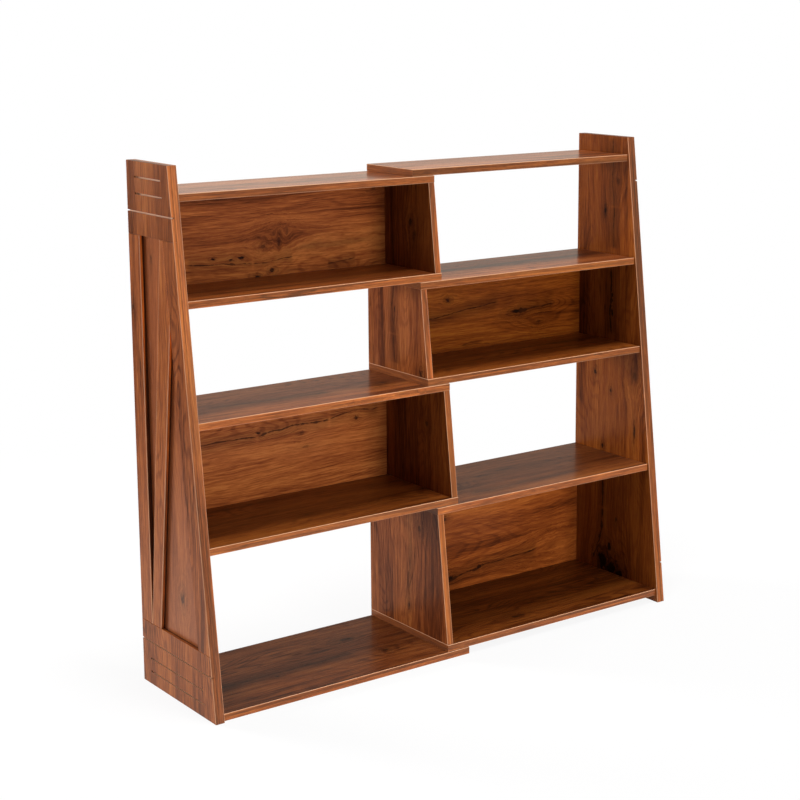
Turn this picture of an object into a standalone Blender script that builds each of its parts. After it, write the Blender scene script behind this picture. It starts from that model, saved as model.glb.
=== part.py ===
"""Telescoping bookcase in walnut-look board, drawn out to its full length.

Two comb-shaped halves slide into each other sideways. Each half has one side panel,
five boards and two closed boxes. The boxes of one half stand in the open bays of the
other half, so at every height one board glides on a board of the other half.

Metres, +Z up. X runs along the shelves, the rear edges lie in one plane at +Y, and the
front looks towards -Y. The origin is on the floor, in the middle of the bookcase.
"""

from math import pi, radians

import bmesh
import bpy
from mathutils import Matrix, Vector

# Overall size, drawn out
WIDTH = 1.1984
HEIGHT = 1.0800
DEPTH_AT_FLOOR = 0.3010
DEPTH_AT_TOP = 0.1700

# Rows, each from one gliding plane to the next
TOP_ROW = 0.2202
SECOND_ROW = 0.2192
THIRD_ROW = 0.2593
BOTTOM_ROW = 0.3113

# Thicknesses
BOARD = 0.0150
END_WALL = 0.0150
SIDE_PANEL = 0.0120
SIDE_LAYER = 0.0080
BACK = 0.0030

# How the halves run into each other
OVERLAP = 0.0556
SLIDE_GAP = 0.0004

# Clearance between fixed pieces
FIT = 0.0003

# Front edges
SHELF_SETBACK = 0.0060
WALL_SETBACK = 0.0070
EDGE_RADIUS = 0.0008

# Grooves that hold the backs
BACK_INSET = 0.0050
GROOVE_DEPTH = 0.0040

# Layer of battens on the outer face of a side
TOP_BLOCK = 0.1450
BOTTOM_BLOCK = 0.1340
REAR_STILE = 0.0460
FRONT_STILE = 0.0460
BRACE_FOOT = 0.0376
BRACE_HEAD_START = 0.1305
BRACE_MEETS_STILE = 0.7680

# Saw kerfs across the blocks, as heights from the joint lines of the blocks
KERF_HEIGHT = 0.0030
KERF_DEPTH = 0.0050
TOP_LONG_KERF = 0.0460
TOP_LOWER_KERF = 0.0815
TOP_UPPER_KERF = 0.1140
BOTTOM_LONG_KERF = 0.0415
BOTTOM_UPPER_KERF = 0.0775
BOTTOM_LOWER_KERF = 0.1060
KERF_REAR_MARGIN = 0.0400
TOP_KERF_FRONT_MARGIN = 0.0325
BOTTOM_KERF_FRONT_MARGIN = 0.0410
PEG_HOLE_DIAMETER = 0.0046
PEG_HOLE_OFFSET = 0.0036

# Cam fittings between boards and side panel
CAM_MARGIN = 0.0370
CAM_DISTANCE = 0.0240
CAM_DIAMETER = 0.0150
CAM_HEIGHT = 0.0120
CAM_BITE = 0.0002
BOLT_IN_PANEL = 0.0090
BOLT_THREAD_DIAMETER = 0.0060
BOLT_COLLAR = 0.0010
BOLT_NECK_DIAMETER = 0.0044
BOLT_HEAD_DIAMETER = 0.0066
BOLT_HEAD_LENGTH = 0.0040
BOLT_BORE_DIAMETER = 0.0080

# Screws through the gliding boards into the ends of the box walls
SCREW_LENGTH = 0.0500
SCREW_DIAMETER = 0.0064
SCREW_HEAD_DIAMETER = 0.0100
SCREW_HEAD_LENGTH = 0.0030
SCREW_SUNK = 0.0006
SCREW_TIP = 0.0030

# Facets of the small turned pieces
SMALL_SIDES = 8
CAM_SIDES = 12

# Length by which a cutter stands proud of the face that it enters
PROUD = 0.0010

# Sizes that follow from the ones above
SIDE = SIDE_LAYER + FIT + SIDE_PANEL
BOARD_END = WIDTH / 2 + OVERLAP / 2
WALL_INNER_FACE = BOARD_END - END_WALL

LEFT = -1
RIGHT = 1
HANDS = {LEFT: "left", RIGHT: "right"}
BOARD_NAMES = ("top_shelf", "second_shelf", "middle_shelf", "lower_shelf", "floor_board")
BOX_NAMES = ("upper_box", "lower_box")

# Finishes as colour, roughness and metallic value
VENEER = ((0.225, 0.088, 0.038), 0.42, 0.0)
SHELF_VENEER = ((0.262, 0.104, 0.046), 0.36, 0.0)
BACK_VENEER = ((0.190, 0.072, 0.032), 0.46, 0.0)
BATTEN_VENEER = ((0.272, 0.112, 0.052), 0.42, 0.0)
ZINC = ((0.560, 0.555, 0.540), 0.38, 1.0)
STEEL = ((0.480, 0.475, 0.470), 0.30, 1.0)


def x_at(hand, inward):
    """X of a point that lies this far inward from the outer face of one side."""
    return hand * (WIDTH / 2 - inward)


def y_at(depth):
    """Y of a point that lies this far in front of the rear plane."""
    return DEPTH_AT_FLOOR / 2 - depth


def side_depth(height):
    """Depth of a side panel at one height: its front edge leans back."""
    return DEPTH_AT_FLOOR + (DEPTH_AT_TOP - DEPTH_AT_FLOOR) * height / HEIGHT


def gliding_planes():
    """Heights at which a board of one half glides on a board of the other, top first."""
    heights = [BOARD + SLIDE_GAP / 2]
    for row in (BOTTOM_ROW, THIRD_ROW, SECOND_ROW, TOP_ROW):
        heights.append(heights[-1] + row)
    return heights[::-1]


def lies_above(hand, tier):
    """Whether this half's board lies above the gliding plane of a tier, or below it."""
    return (tier % 2 == 1) == (hand == LEFT)


def board_heights(hand, tier):
    """Underside and top of one board."""
    plane = gliding_planes()[tier]
    if lies_above(hand, tier):
        return plane + SLIDE_GAP / 2, plane + SLIDE_GAP / 2 + BOARD
    return plane - SLIDE_GAP / 2 - BOARD, plane - SLIDE_GAP / 2


def board_depth(hand, tier):
    """Depth of one board, which is cut square at the front."""
    bottom, top = board_heights(hand, tier)
    return side_depth((bottom + top) / 2) - SHELF_SETBACK


def box_tiers(hand):
    """Upper and lower tier of each closed box of one half."""
    upper_tiers = (0, 2) if hand == LEFT else (1, 3)
    return [(tier, tier + 1) for tier in upper_tiers]


def box_heights(hand, tiers):
    """Clear height inside a box: top of its lower board, underside of its upper one."""
    upper, lower = tiers
    return board_heights(hand, lower)[1], board_heights(hand, upper)[0]


def wall_depth(height):
    """Depth of a box wall at one height."""
    return side_depth(height) - WALL_SETBACK


def finish_material(name, finish):
    """A surface with the colour, roughness and metallic value of one piece."""
    colour, roughness, metallic = finish
    material = bpy.data.materials.new(name)
    material.use_nodes = True
    shader = material.node_tree.nodes["Principled BSDF"]
    shader.inputs["Base Color"].default_value = (*colour, 1.0)
    shader.inputs["Roughness"].default_value = roughness
    shader.inputs["Metallic"].default_value = metallic
    material.diffuse_color = (*colour, 1.0)
    return material


def add_object(name, bm, carrier):
    """Names a finished shape and hangs it on its half, with its origin at its middle."""
    bmesh.ops.recalc_face_normals(bm, faces=bm.faces)
    points = [vert.co for vert in bm.verts]
    low = Vector([min(point[axis] for point in points) for axis in range(3)])
    high = Vector([max(point[axis] for point in points) for axis in range(3)])
    middle = (low + high) / 2
    bmesh.ops.translate(bm, verts=bm.verts, vec=-middle)
    mesh = bpy.data.meshes.new(name)
    bm.to_mesh(mesh)
    bm.free()
    piece = bpy.data.objects.new(name, mesh)
    bpy.context.scene.collection.objects.link(piece)
    piece.parent = carrier
    piece.location = middle - carrier.location
    return piece


def add_piece(name, bm, carrier, finish):
    """A piece of the bookcase, with its own material."""
    piece = add_object(name, bm, carrier)
    piece.data.materials.append(finish_material(name, finish))
    return piece


def add_fitting(name, mesh, place, carrier):
    """One copy of a fitting, which shares its mesh and its material with the others."""
    piece = bpy.data.objects.new(name, mesh)
    bpy.context.scene.collection.objects.link(piece)
    piece.parent = carrier
    piece.location = place.translation - carrier.location
    piece.rotation_euler = place.to_euler()
    return piece


def add_cutter(name, bm, carrier):
    """A shape that is only taken away from others."""
    cutter = add_object(name, bm, carrier)
    cutter.hide_render = True
    cutter.display_type = "WIRE"
    return cutter


def cut(piece, *cutters):
    """Takes each cutter away from a piece."""
    for cutter in cutters:
        modifier = piece.modifiers.new(cutter.name, "BOOLEAN")
        modifier.operation = "DIFFERENCE"
        modifier.solver = "EXACT"
        modifier.object = cutter


def draw_through(bm, outline, hand, start, end):
    """Draws an outline of (depth, height) points through from one inward distance to
    another. Returns the corners at the start and at the end, in the outline's order."""
    near = [bm.verts.new((x_at(hand, start), y_at(depth), height)) for depth, height in outline]
    grown = bmesh.ops.extrude_face_region(bm, geom=[bm.faces.new(near)])
    moved = [item for item in grown["geom"] if isinstance(item, bmesh.types.BMVert)]
    bmesh.ops.translate(bm, verts=moved, vec=(x_at(hand, end) - x_at(hand, start), 0, 0))
    partners = {vert: edge.other_vert(vert) for vert in near for edge in vert.link_edges
                if edge.other_vert(vert) in moved}
    return near, [partners[vert] for vert in near]


def box_between(bm, hand, inward, depths, heights):
    """A block between two inward distances, two depths and two heights."""
    (rear, front), (low, high) = depths, heights
    outline = [(rear, low), (front, low), (front, high), (rear, high)]
    return draw_through(bm, outline, hand, *inward)


def soften(piece_bm, pairs):
    """Marks the arrises between pairs of corners for the small edge radius."""
    weight = piece_bm.edges.layers.float.new("bevel_weight_edge")
    for first, second in pairs:
        piece_bm.edges.get((first, second))[weight] = 1.0


def round_marked_edges(piece):
    """Rounds the marked arrises as edge banding does."""
    modifier = piece.modifiers.new("edge_radius", "BEVEL")
    modifier.limit_method = "WEIGHT"
    modifier.width = EDGE_RADIUS
    modifier.segments = 2
    modifier.use_clamp_overlap = True


def turn(bm, profile, place):
    """Turns a profile of (station, radius) points about its own length and puts it in
    place. The profile starts and ends on its axis."""
    fresh = bmesh.new()
    points = [fresh.verts.new((radius, 0, station)) for station, radius in profile]
    edges = [fresh.edges.new(pair) for pair in zip(points, points[1:])]
    bmesh.ops.spin(fresh, geom=points + edges, cent=(0, 0, 0), axis=(0, 0, 1),
                   angle=2 * pi, steps=SMALL_SIDES, use_merge=True)
    bmesh.ops.remove_doubles(fresh, verts=fresh.verts, dist=0.00001)
    bmesh.ops.transform(fresh, matrix=place, verts=fresh.verts)
    bmesh.ops.recalc_face_normals(fresh, faces=fresh.faces)
    holder = bpy.data.meshes.new("turned")
    fresh.to_mesh(holder)
    fresh.free()
    bm.from_mesh(holder)
    bpy.data.meshes.remove(holder)


def facing(point, direction):
    """Places a turned piece at a point, with its length along a direction."""
    turned = Vector(direction).to_track_quat("Z", "Y").to_matrix().to_4x4()
    return Matrix.Translation(point) @ turned


def side_panel(hand, carrier):
    """The full-height panel that carries the boards."""
    bm = bmesh.new()
    outline = [(0, 0), (side_depth(0), 0), (side_depth(HEIGHT), HEIGHT), (0, HEIGHT)]
    outer, inner = draw_through(bm, outline, hand, SIDE_LAYER + FIT, SIDE)
    soften(bm, [(inner[1], inner[2])])
    piece = add_piece(f"{HANDS[hand]}_side_panel", bm, carrier, VENEER)
    round_marked_edges(piece)
    return piece


def batten(hand, name, outline, carrier):
    """One piece of the layer on the outer face of a side, with eased outer arrises."""
    bm = bmesh.new()
    outer, inner = draw_through(bm, outline, hand, 0, SIDE_LAYER)
    soften(bm, list(zip(outer, outer[1:] + outer[:1])))
    piece = add_piece(f"{HANDS[hand]}_{name}", bm, carrier, BATTEN_VENEER)
    round_marked_edges(piece)
    return piece


def stile_rear_edge(height):
    """Depth of the rear edge of the front stile at one height."""
    return side_depth(height) - FRONT_STILE


def brace_outline(low, high):
    """The diagonal brace, from the foot of the rear stile to the head of the front one."""
    foot = REAR_STILE + FIT
    meeting = (stile_rear_edge(BRACE_MEETS_STILE) - FIT, BRACE_MEETS_STILE)
    head = (stile_rear_edge(high) - FIT, high)
    return [(foot, low), (foot + BRACE_FOOT, low), meeting, head, (BRACE_HEAD_START, high)]


def side_battens(hand, carrier):
    """The five battens that cover a side and leave two three-cornered recesses."""
    bottom_line = BOTTOM_BLOCK
    top_line = HEIGHT - TOP_BLOCK
    low = bottom_line + FIT
    high = top_line - FIT
    bottom_block = [(0, 0), (side_depth(0), 0), (side_depth(bottom_line), bottom_line),
                    (0, bottom_line)]
    top_block = [(0, top_line), (side_depth(top_line), top_line),
                 (side_depth(HEIGHT), HEIGHT), (0, HEIGHT)]
    rear_stile = [(0, low), (REAR_STILE, low), (REAR_STILE, high), (0, high)]
    front_stile = [(stile_rear_edge(low), low), (side_depth(low), low),
                   (side_depth(high), high), (stile_rear_edge(high), high)]
    blocks = (batten(hand, "top_block", top_block, carrier),
              batten(hand, "bottom_block", bottom_block, carrier))
    batten(hand, "rear_stile", rear_stile, carrier)
    batten(hand, "front_stile", front_stile, carrier)
    batten(hand, "diagonal_brace", brace_outline(low, high), carrier)
    return blocks


def kerf(bm, hand, height, depths):
    """One level saw kerf, open to the outer face of the side."""
    heights = (height - KERF_HEIGHT / 2, height + KERF_HEIGHT / 2)
    box_between(bm, hand, (-PROUD, KERF_DEPTH), depths, heights)


def short_kerf(bm, hand, height, front_margin):
    """A kerf that stops short of both edges, with a small blind hole behind its end."""
    start = KERF_REAR_MARGIN
    kerf(bm, hand, height, (start, side_depth(height) - front_margin))
    hole = [(-PROUD, 0), (-PROUD, PEG_HOLE_DIAMETER / 2),
            (KERF_DEPTH, PEG_HOLE_DIAMETER / 2), (KERF_DEPTH, 0)]
    point = (x_at(hand, 0), y_at(start - PEG_HOLE_OFFSET), height)
    turn(bm, hole, facing(point, (-hand, 0, 0)))


def kerf_cutters(hand, carrier):
    """The kerfs of the top block and those of the bottom block."""
    top_line = HEIGHT - TOP_BLOCK
    top = bmesh.new()
    long_depth = (-PROUD, side_depth(0) + PROUD)
    kerf(top, hand, top_line + TOP_LONG_KERF, long_depth)
    for distance in (TOP_LOWER_KERF, TOP_UPPER_KERF):
        short_kerf(top, hand, top_line + distance, TOP_KERF_FRONT_MARGIN)
    bottom = bmesh.new()
    kerf(bottom, hand, BOTTOM_BLOCK - BOTTOM_LONG_KERF, long_depth)
    for distance in (BOTTOM_UPPER_KERF, BOTTOM_LOWER_KERF):
        short_kerf(bottom, hand, BOTTOM_BLOCK - distance, BOTTOM_KERF_FRONT_MARGIN)
    name = HANDS[hand]
    return (add_cutter(f"{name}_top_kerfs", top, carrier),
            add_cutter(f"{name}_bottom_kerfs", bottom, carrier))


def shelf_board(hand, tier, carrier):
    """One board, from the side panel to the far end that glides in the other half."""
    bm = bmesh.new()
    depths = (0, board_depth(hand, tier))
    near, far = box_between(bm, hand, (SIDE + FIT, BOARD_END), depths, board_heights(hand, tier))
    soften(bm, [(near[1], far[1]), (near[2], far[2])])
    piece = add_piece(f"{HANDS[hand]}_{BOARD_NAMES[tier]}", bm, carrier, SHELF_VENEER)
    round_marked_edges(piece)
    return piece


def box_wall(hand, name, tiers, carrier):
    """The wall that closes the far end of a box, standing between its two boards."""
    low, high = box_heights(hand, tiers)
    low, high = low + FIT, high - FIT
    outline = [(0, low), (wall_depth(low), low), (wall_depth(high), high), (0, high)]
    bm = bmesh.new()
    near, far = draw_through(bm, outline, hand, WALL_INNER_FACE, BOARD_END)
    soften(bm, [(near[1], near[2]), (far[1], far[2])])
    piece = add_piece(f"{HANDS[hand]}_{name}_wall", bm, carrier, VENEER)
    round_marked_edges(piece)
    return piece


def back_block(bm, hand, tiers, clearance):
    """The space of a back panel, grown by a clearance on all sides."""
    low, high = box_heights(hand, tiers)
    edge = GROOVE_DEPTH - FIT + clearance
    rear = BACK_INSET + FIT
    box_between(bm, hand, (SIDE - edge, WALL_INNER_FACE + edge),
                (rear - clearance, rear + BACK + clearance), (low - edge, high + edge))


def box_back(hand, name, tiers, carrier):
    """The thin back of a box, let into grooves on all four sides."""
    bm = bmesh.new()
    back_block(bm, hand, tiers, 0)
    return add_piece(f"{HANDS[hand]}_{name}_back", bm, carrier, BACK_VENEER)


def groove_cutter(hand, name, tiers, carrier):
    """The grooves that one back sits in."""
    bm = bmesh.new()
    back_block(bm, hand, tiers, FIT)
    return add_cutter(f"{HANDS[hand]}_{name}_grooves", bm, carrier)


def board_middle(hand, tier):
    """Height of the middle of a board's thickness."""
    bottom, top = board_heights(hand, tier)
    return (bottom + top) / 2


def cam_depths(hand, tier):
    """Depths of the rear and the front cam fitting of one board."""
    return {"rear": CAM_MARGIN, "front": board_depth(hand, tier) - CAM_MARGIN}


def cam_place(hand, tier, depth):
    """Middle of one cam, halfway through its board, turned so that +X faces the panel."""
    point = (x_at(hand, SIDE + CAM_DISTANCE), y_at(depth), board_middle(hand, tier))
    turned = Matrix.Rotation(0 if hand == RIGHT else pi, 4, "Z")
    return Matrix.Translation(point) @ turned


def bolt_profile():
    """A cam bolt from its thread to its head, as stations from the face of the panel."""
    head_start = CAM_DISTANCE - BOLT_HEAD_LENGTH / 2
    head_end = CAM_DISTANCE + BOLT_HEAD_LENGTH / 2
    thread = BOLT_THREAD_DIAMETER / 2
    neck = BOLT_NECK_DIAMETER / 2
    head = BOLT_HEAD_DIAMETER / 2
    return [(-BOLT_IN_PANEL, 0), (-BOLT_IN_PANEL, thread), (BOLT_COLLAR, thread),
            (BOLT_COLLAR, neck), (head_start, neck), (head_start, head),
            (head_end, head), (head_end, 0)]


def thread_hole_profile():
    """The hole in the side panel that holds the bolt's thread."""
    thread = BOLT_THREAD_DIAMETER / 2 + FIT
    end = -BOLT_IN_PANEL - FIT
    return [(end, 0), (end, thread), (PROUD, thread), (PROUD, 0)]


def bolt_bore_profile():
    """The wider bore along the board, from its end to the middle of the cam."""
    bore = BOLT_BORE_DIAMETER / 2
    return [(-PROUD, 0), (-PROUD, bore), (CAM_DISTANCE, bore), (CAM_DISTANCE, 0)]


def from_panel(place):
    """Turns a cam's place into that of its bolt, which starts at the panel's face."""
    return place @ facing((CAM_DISTANCE, 0, 0), (-1, 0, 0))


def upright_disc(bm, place, radius, low, high):
    """A round disc about a cam's axis, between two heights from the board's middle.
    One of its facets faces the panel squarely."""
    lift = Matrix.Translation((0, 0, (low + high) / 2))
    half_facet = Matrix.Rotation(pi / CAM_SIDES, 4, "Z")
    bmesh.ops.create_cone(bm, cap_ends=True, segments=CAM_SIDES, radius1=radius,
                          radius2=radius, depth=high - low, matrix=place @ lift @ half_facet)


def cam_slot(bm):
    """The slot of a cam: a chamber for the bolt's head, and a mouth for its neck."""
    head = BOLT_HEAD_DIAMETER / 2 + FIT
    neck = BOLT_NECK_DIAMETER / 2 + FIT
    rear = -BOLT_HEAD_LENGTH / 2 - FIT
    lip = BOLT_HEAD_LENGTH / 2 - CAM_BITE
    mouth = CAM_DIAMETER / 2 + PROUD
    outline = [(rear, -head), (lip, -head), (lip, -neck), (mouth, -neck),
               (mouth, neck), (lip, neck), (lip, head), (rear, head)]
    corners = [bm.verts.new((along, across, -head)) for along, across in outline]
    grown = bmesh.ops.extrude_face_region(bm, geom=[bm.faces.new(corners)])
    moved = [item for item in grown["geom"] if isinstance(item, bmesh.types.BMVert)]
    bmesh.ops.translate(bm, verts=moved, vec=(0, 0, CAM_HEIGHT + PROUD))


def cam_underside():
    """Height of a cam's visible face, counted from the middle of its board."""
    return FIT - BOARD / 2


def evaluated_mesh(name, piece, helpers, finish):
    """Keeps a modelled shape as a mesh of its own and clears away what it was made of."""
    bpy.context.view_layer.update()
    graph = bpy.context.evaluated_depsgraph_get()
    mesh = bpy.data.meshes.new_from_object(piece.evaluated_get(graph))
    mesh.name = name
    mesh.materials.clear()
    mesh.materials.append(finish_material(name, finish))
    mesh.shade_smooth()
    mesh.set_sharp_from_angle(angle=radians(50))
    for used in (piece, *helpers):
        bpy.data.objects.remove(used, do_unlink=True)
    return mesh


def modelled_about_origin(name, bm):
    """A loose object whose mesh keeps the coordinates that it was modelled in."""
    bmesh.ops.recalc_face_normals(bm, faces=bm.faces)
    mesh = bpy.data.meshes.new(name)
    bm.to_mesh(mesh)
    bm.free()
    piece = bpy.data.objects.new(name, mesh)
    bpy.context.scene.collection.objects.link(piece)
    return piece


def cam_fitting_mesh():
    """A cam and its bolt, drawn tight: the cam's lips bear on the shoulder of the head."""
    disc = bmesh.new()
    low = cam_underside()
    upright_disc(disc, Matrix.Identity(4), CAM_DIAMETER / 2, low, low + CAM_HEIGHT)
    slot = bmesh.new()
    cam_slot(slot)
    bolt = bmesh.new()
    turn(bolt, bolt_profile(), from_panel(Matrix.Identity(4)))
    cam = modelled_about_origin("cam", disc)
    slot = modelled_about_origin("cam_slot", slot)
    bolt = modelled_about_origin("cam_bolt", bolt)
    cut(cam, slot)
    join = cam.modifiers.new("cam_bolt", "BOOLEAN")
    join.operation = "UNION"
    join.solver = "EXACT"
    join.object = bolt
    return evaluated_mesh("cam_fitting", cam, (slot, bolt), ZINC)


def screw_profile():
    """A screw with a sunk head, from the gliding face of a board into a wall's end."""
    head = SCREW_HEAD_DIAMETER / 2
    shank = SCREW_DIAMETER / 2
    return [(SCREW_SUNK, 0), (SCREW_SUNK, head), (SCREW_SUNK + SCREW_HEAD_LENGTH, shank),
            (SCREW_LENGTH - SCREW_TIP, shank), (SCREW_LENGTH, shank / 2), (SCREW_LENGTH, 0)]


def screw_hole_profile():
    """The screw's hole, which opens on the gliding face."""
    head = SCREW_HEAD_DIAMETER / 2 + FIT
    shank = SCREW_DIAMETER / 2 + FIT
    end = SCREW_LENGTH + FIT
    return [(-PROUD, 0), (-PROUD, head), (SCREW_SUNK, head),
            (SCREW_SUNK + SCREW_HEAD_LENGTH, shank), (end, shank), (end, 0)]


def wall_screw_mesh():
    """One wall screw, with the gliding face of its board at the mesh's origin."""
    screw = bmesh.new()
    turn(screw, screw_profile(), Matrix.Identity(4))
    return evaluated_mesh("wall_screw", modelled_about_origin("screw", screw), (), STEEL)


def wall_joints(hand, tiers):
    """Places on the gliding faces of a box's boards, each facing into the box wall."""
    upper, lower = tiers
    middle = x_at(hand, WALL_INNER_FACE + END_WALL / 2)
    places = {}
    for end, tier, face, way in (("top", upper, 1, -1), ("bottom", lower, 0, 1)):
        height = board_heights(hand, tier)[face]
        depth = wall_depth(height + way * BOARD) / 2
        places[end] = facing((middle, y_at(depth), height), (0, 0, way))
    return places


def cam_fittings(hand, carrier, mesh):
    """The cam fittings of one half. Returns the cutters for the thread holes in the side
    panel, and for the bores and the pockets in the boards."""
    threads = bmesh.new()
    bores = bmesh.new()
    pockets = bmesh.new()
    low = cam_underside()
    for tier, board in enumerate(BOARD_NAMES):
        for end, depth in cam_depths(hand, tier).items():
            place = cam_place(hand, tier, depth)
            add_fitting(f"{HANDS[hand]}_{board}_{end}_cam", mesh, place, carrier)
            turn(threads, thread_hole_profile(), from_panel(place))
            turn(bores, bolt_bore_profile(), from_panel(place))
            upright_disc(pockets, place, CAM_DIAMETER / 2 + FIT, low - FIT - PROUD,
                         low + CAM_HEIGHT + FIT)
    return (add_cutter(f"{HANDS[hand]}_thread_holes", threads, carrier),
            add_cutter(f"{HANDS[hand]}_bolt_bores", bores, carrier),
            add_cutter(f"{HANDS[hand]}_cam_pockets", pockets, carrier))


def wall_screws(hand, box, tiers, carrier, mesh):
    """The two screws of one box wall. Returns the cutter for their holes."""
    holes = bmesh.new()
    for end, place in wall_joints(hand, tiers).items():
        add_fitting(f"{HANDS[hand]}_{box}_{end}_screw", mesh, place, carrier)
        turn(holes, screw_hole_profile(), place)
    return add_cutter(f"{HANDS[hand]}_{box}_screw_holes", holes, carrier)


def build_half(hand, cam_mesh, screw_mesh):
    """One comb-shaped half, carried by an empty on the line along which it slides."""
    carrier = bpy.data.objects.new(f"{HANDS[hand]}_half", None)
    carrier.location = (hand * WIDTH / 2, 0, 0)
    bpy.context.scene.collection.objects.link(carrier)
    panel = side_panel(hand, carrier)
    for block, kerfs in zip(side_battens(hand, carrier), kerf_cutters(hand, carrier)):
        cut(block, kerfs)
    boards = [shelf_board(hand, tier, carrier) for tier in range(len(BOARD_NAMES))]
    threads, bores, pockets = cam_fittings(hand, carrier, cam_mesh)
    cut(panel, threads)
    for board in boards:
        cut(board, bores, pockets)
    for box, tiers in zip(BOX_NAMES, box_tiers(hand)):
        wall = box_wall(hand, box, tiers, carrier)
        box_back(hand, box, tiers, carrier)
        holes = wall_screws(hand, box, tiers, carrier, screw_mesh)
        grooves = groove_cutter(hand, box, tiers, carrier)
        cut(panel, grooves)
        cut(wall, holes, grooves)
        for tier in tiers:
            cut(boards[tier], holes, grooves)


for old in list(bpy.data.objects):
    bpy.data.objects.remove(old, do_unlink=True)

cam_fitting = cam_fitting_mesh()
wall_screw = wall_screw_mesh()
for side in HANDS:
    build_half(side, cam_fitting, wall_screw)
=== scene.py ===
# %% [markdown]
# # A bookcase in two halves that slide into each other
# The frame gives every board, panel and batten its exact shape, so most of this lesson is
# about what the eye reads as wood: the figure of the walnut, its knots, the lighter strips
# on the edges and the sheen that turns grey where a shelf mirrors a white room. The small
# metal fittings are then modelled.

from math import pi, radians

import bpy
from mathutils import Matrix, Vector


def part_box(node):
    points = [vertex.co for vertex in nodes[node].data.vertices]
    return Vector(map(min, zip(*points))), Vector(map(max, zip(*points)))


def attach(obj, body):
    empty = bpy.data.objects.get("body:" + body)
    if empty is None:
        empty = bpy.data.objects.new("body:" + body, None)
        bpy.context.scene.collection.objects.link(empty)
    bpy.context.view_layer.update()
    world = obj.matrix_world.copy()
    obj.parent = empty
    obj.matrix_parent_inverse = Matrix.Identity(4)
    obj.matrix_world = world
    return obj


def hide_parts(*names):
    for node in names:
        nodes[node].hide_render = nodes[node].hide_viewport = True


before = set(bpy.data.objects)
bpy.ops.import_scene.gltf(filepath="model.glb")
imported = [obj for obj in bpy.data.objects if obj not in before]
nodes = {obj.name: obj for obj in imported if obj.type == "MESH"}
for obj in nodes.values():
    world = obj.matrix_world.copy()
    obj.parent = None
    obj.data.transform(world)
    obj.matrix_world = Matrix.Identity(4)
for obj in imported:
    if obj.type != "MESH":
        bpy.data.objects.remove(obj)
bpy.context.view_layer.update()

# %% [markdown]
# ## Camera
# A product camera stands in front of the bookcase and to its left, a little higher than
# its top, with a long lens so that the shelves run nearly parallel. The small shift of the
# sensor lets it tilt down less, which keeps the uprights close to vertical, as an
# architect's camera does.

# %% Standing the camera in front of the left half
SENSOR = 36.0
LENS = 79.03
SHIFT = -0.08
CAMERA_PLACE = (-2.1626, -3.0057, 1.3847)
CAMERA_TILT = 0.188
CAMERA_TURN = -0.650
camera_data = bpy.data.cameras.new("product_camera")
camera_data.sensor_width = SENSOR
camera_data.lens = LENS
camera_data.shift_x = SHIFT
camera_data.shift_y = SHIFT
camera = bpy.data.objects.new("product_camera", camera_data)
camera.location = CAMERA_PLACE
camera.rotation_euler = (pi / 2 - CAMERA_TILT, 0.0, CAMERA_TURN)
bpy.context.scene.collection.objects.link(camera)
bpy.context.scene.camera = camera
bpy.context.scene.view_settings.view_transform = "Standard"
print("lens", LENS, "mm, shift", SHIFT)

# %% [markdown]
# ## A short way of writing shader nodes
# A material is a small circuit. Written out socket by socket it soon fills pages, so a few
# helpers do the wiring: one adds any node, one adds a sum, others a soft step, noise or a
# tint. All accept a plain number or the output of another node in each socket. A circuit
# that many materials share is kept as a group.

# %% Helpers for nodes and sums
def plug(tree, socket, value):
    """Sets a socket to a value, or links it to another node's output."""
    if isinstance(value, bpy.types.NodeSocket):
        tree.links.new(value, socket)
    elif value is not None:
        socket.default_value = value


def part(tree, kind, inputs=None, **settings):
    """Adds one shader node with its settings and returns it."""
    made = tree.nodes.new("ShaderNode" + kind)
    for name, value in settings.items():
        setattr(made, name, value)
    for name, value in (inputs or {}).items():
        plug(tree, made.inputs[name], value)
    return made


def reckon(tree, operation, *values, clamp=False):
    """Adds one sum of one, two or three numbers and returns its result."""
    made = part(tree, "Math", operation=operation, use_clamp=clamp)
    for socket, value in zip(made.inputs, values):
        plug(tree, socket, value)
    return made.outputs[0]


def ease(tree, value, start, end):
    """A soft step: 0 before the start, 1 past the end, and smooth between them."""
    made = part(tree, "MapRange", interpolation_type="SMOOTHSTEP")
    for name, number in (("Value", value), ("From Min", start), ("From Max", end)):
        plug(tree, made.inputs[name], number)
    return made.outputs["Result"]


print("helpers for nodes and sums ready")


# %% Helpers for noise and colours
def noise(tree, vector, detail=2.0, roughness=0.5, scale=1.0):
    """Cloudy noise between 0 and 1."""
    made = part(tree, "TexNoise", {"Vector": vector, "Scale": scale, "Detail": detail,
                                   "Roughness": roughness})
    return made.outputs["Fac"]


def tint(tree, amount, under, over, blend="MIX"):
    """Lays one colour over another by an amount."""
    made = part(tree, "Mix", data_type="RGBA", blend_type=blend)
    for socket, value in zip((made.inputs[0], made.inputs[6], made.inputs[7]),
                             (amount, under, over)):
        plug(tree, socket, value)
    return made.outputs[2]


def linear(red, green, blue):
    """A colour as read off a screen, from 0 to 255, as the values that light adds up in."""
    parts = [value / 255 for value in (red, green, blue)]
    return (*[p / 12.92 if p <= 0.04045 else ((p + 0.055) / 1.055) ** 2.4 for p in parts], 1.0)


print("helpers for noise and colours ready")


# %% Helpers for reusable circuits
def new_group(name, inputs, outputs):
    """A new circuit with number sockets, as its tree, its entry and its exit."""
    tree = bpy.data.node_groups.new(name, "ShaderNodeTree")
    for label in inputs:
        tree.interface.new_socket(name=label, in_out="INPUT", socket_type="NodeSocketFloat")
    for label, kind in outputs.items():
        tree.interface.new_socket(name=label, in_out="OUTPUT", socket_type="NodeSocket" + kind)
    entry = tree.nodes.new("NodeGroupInput")
    leave = tree.nodes.new("NodeGroupOutput")
    return tree, entry, leave


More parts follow.
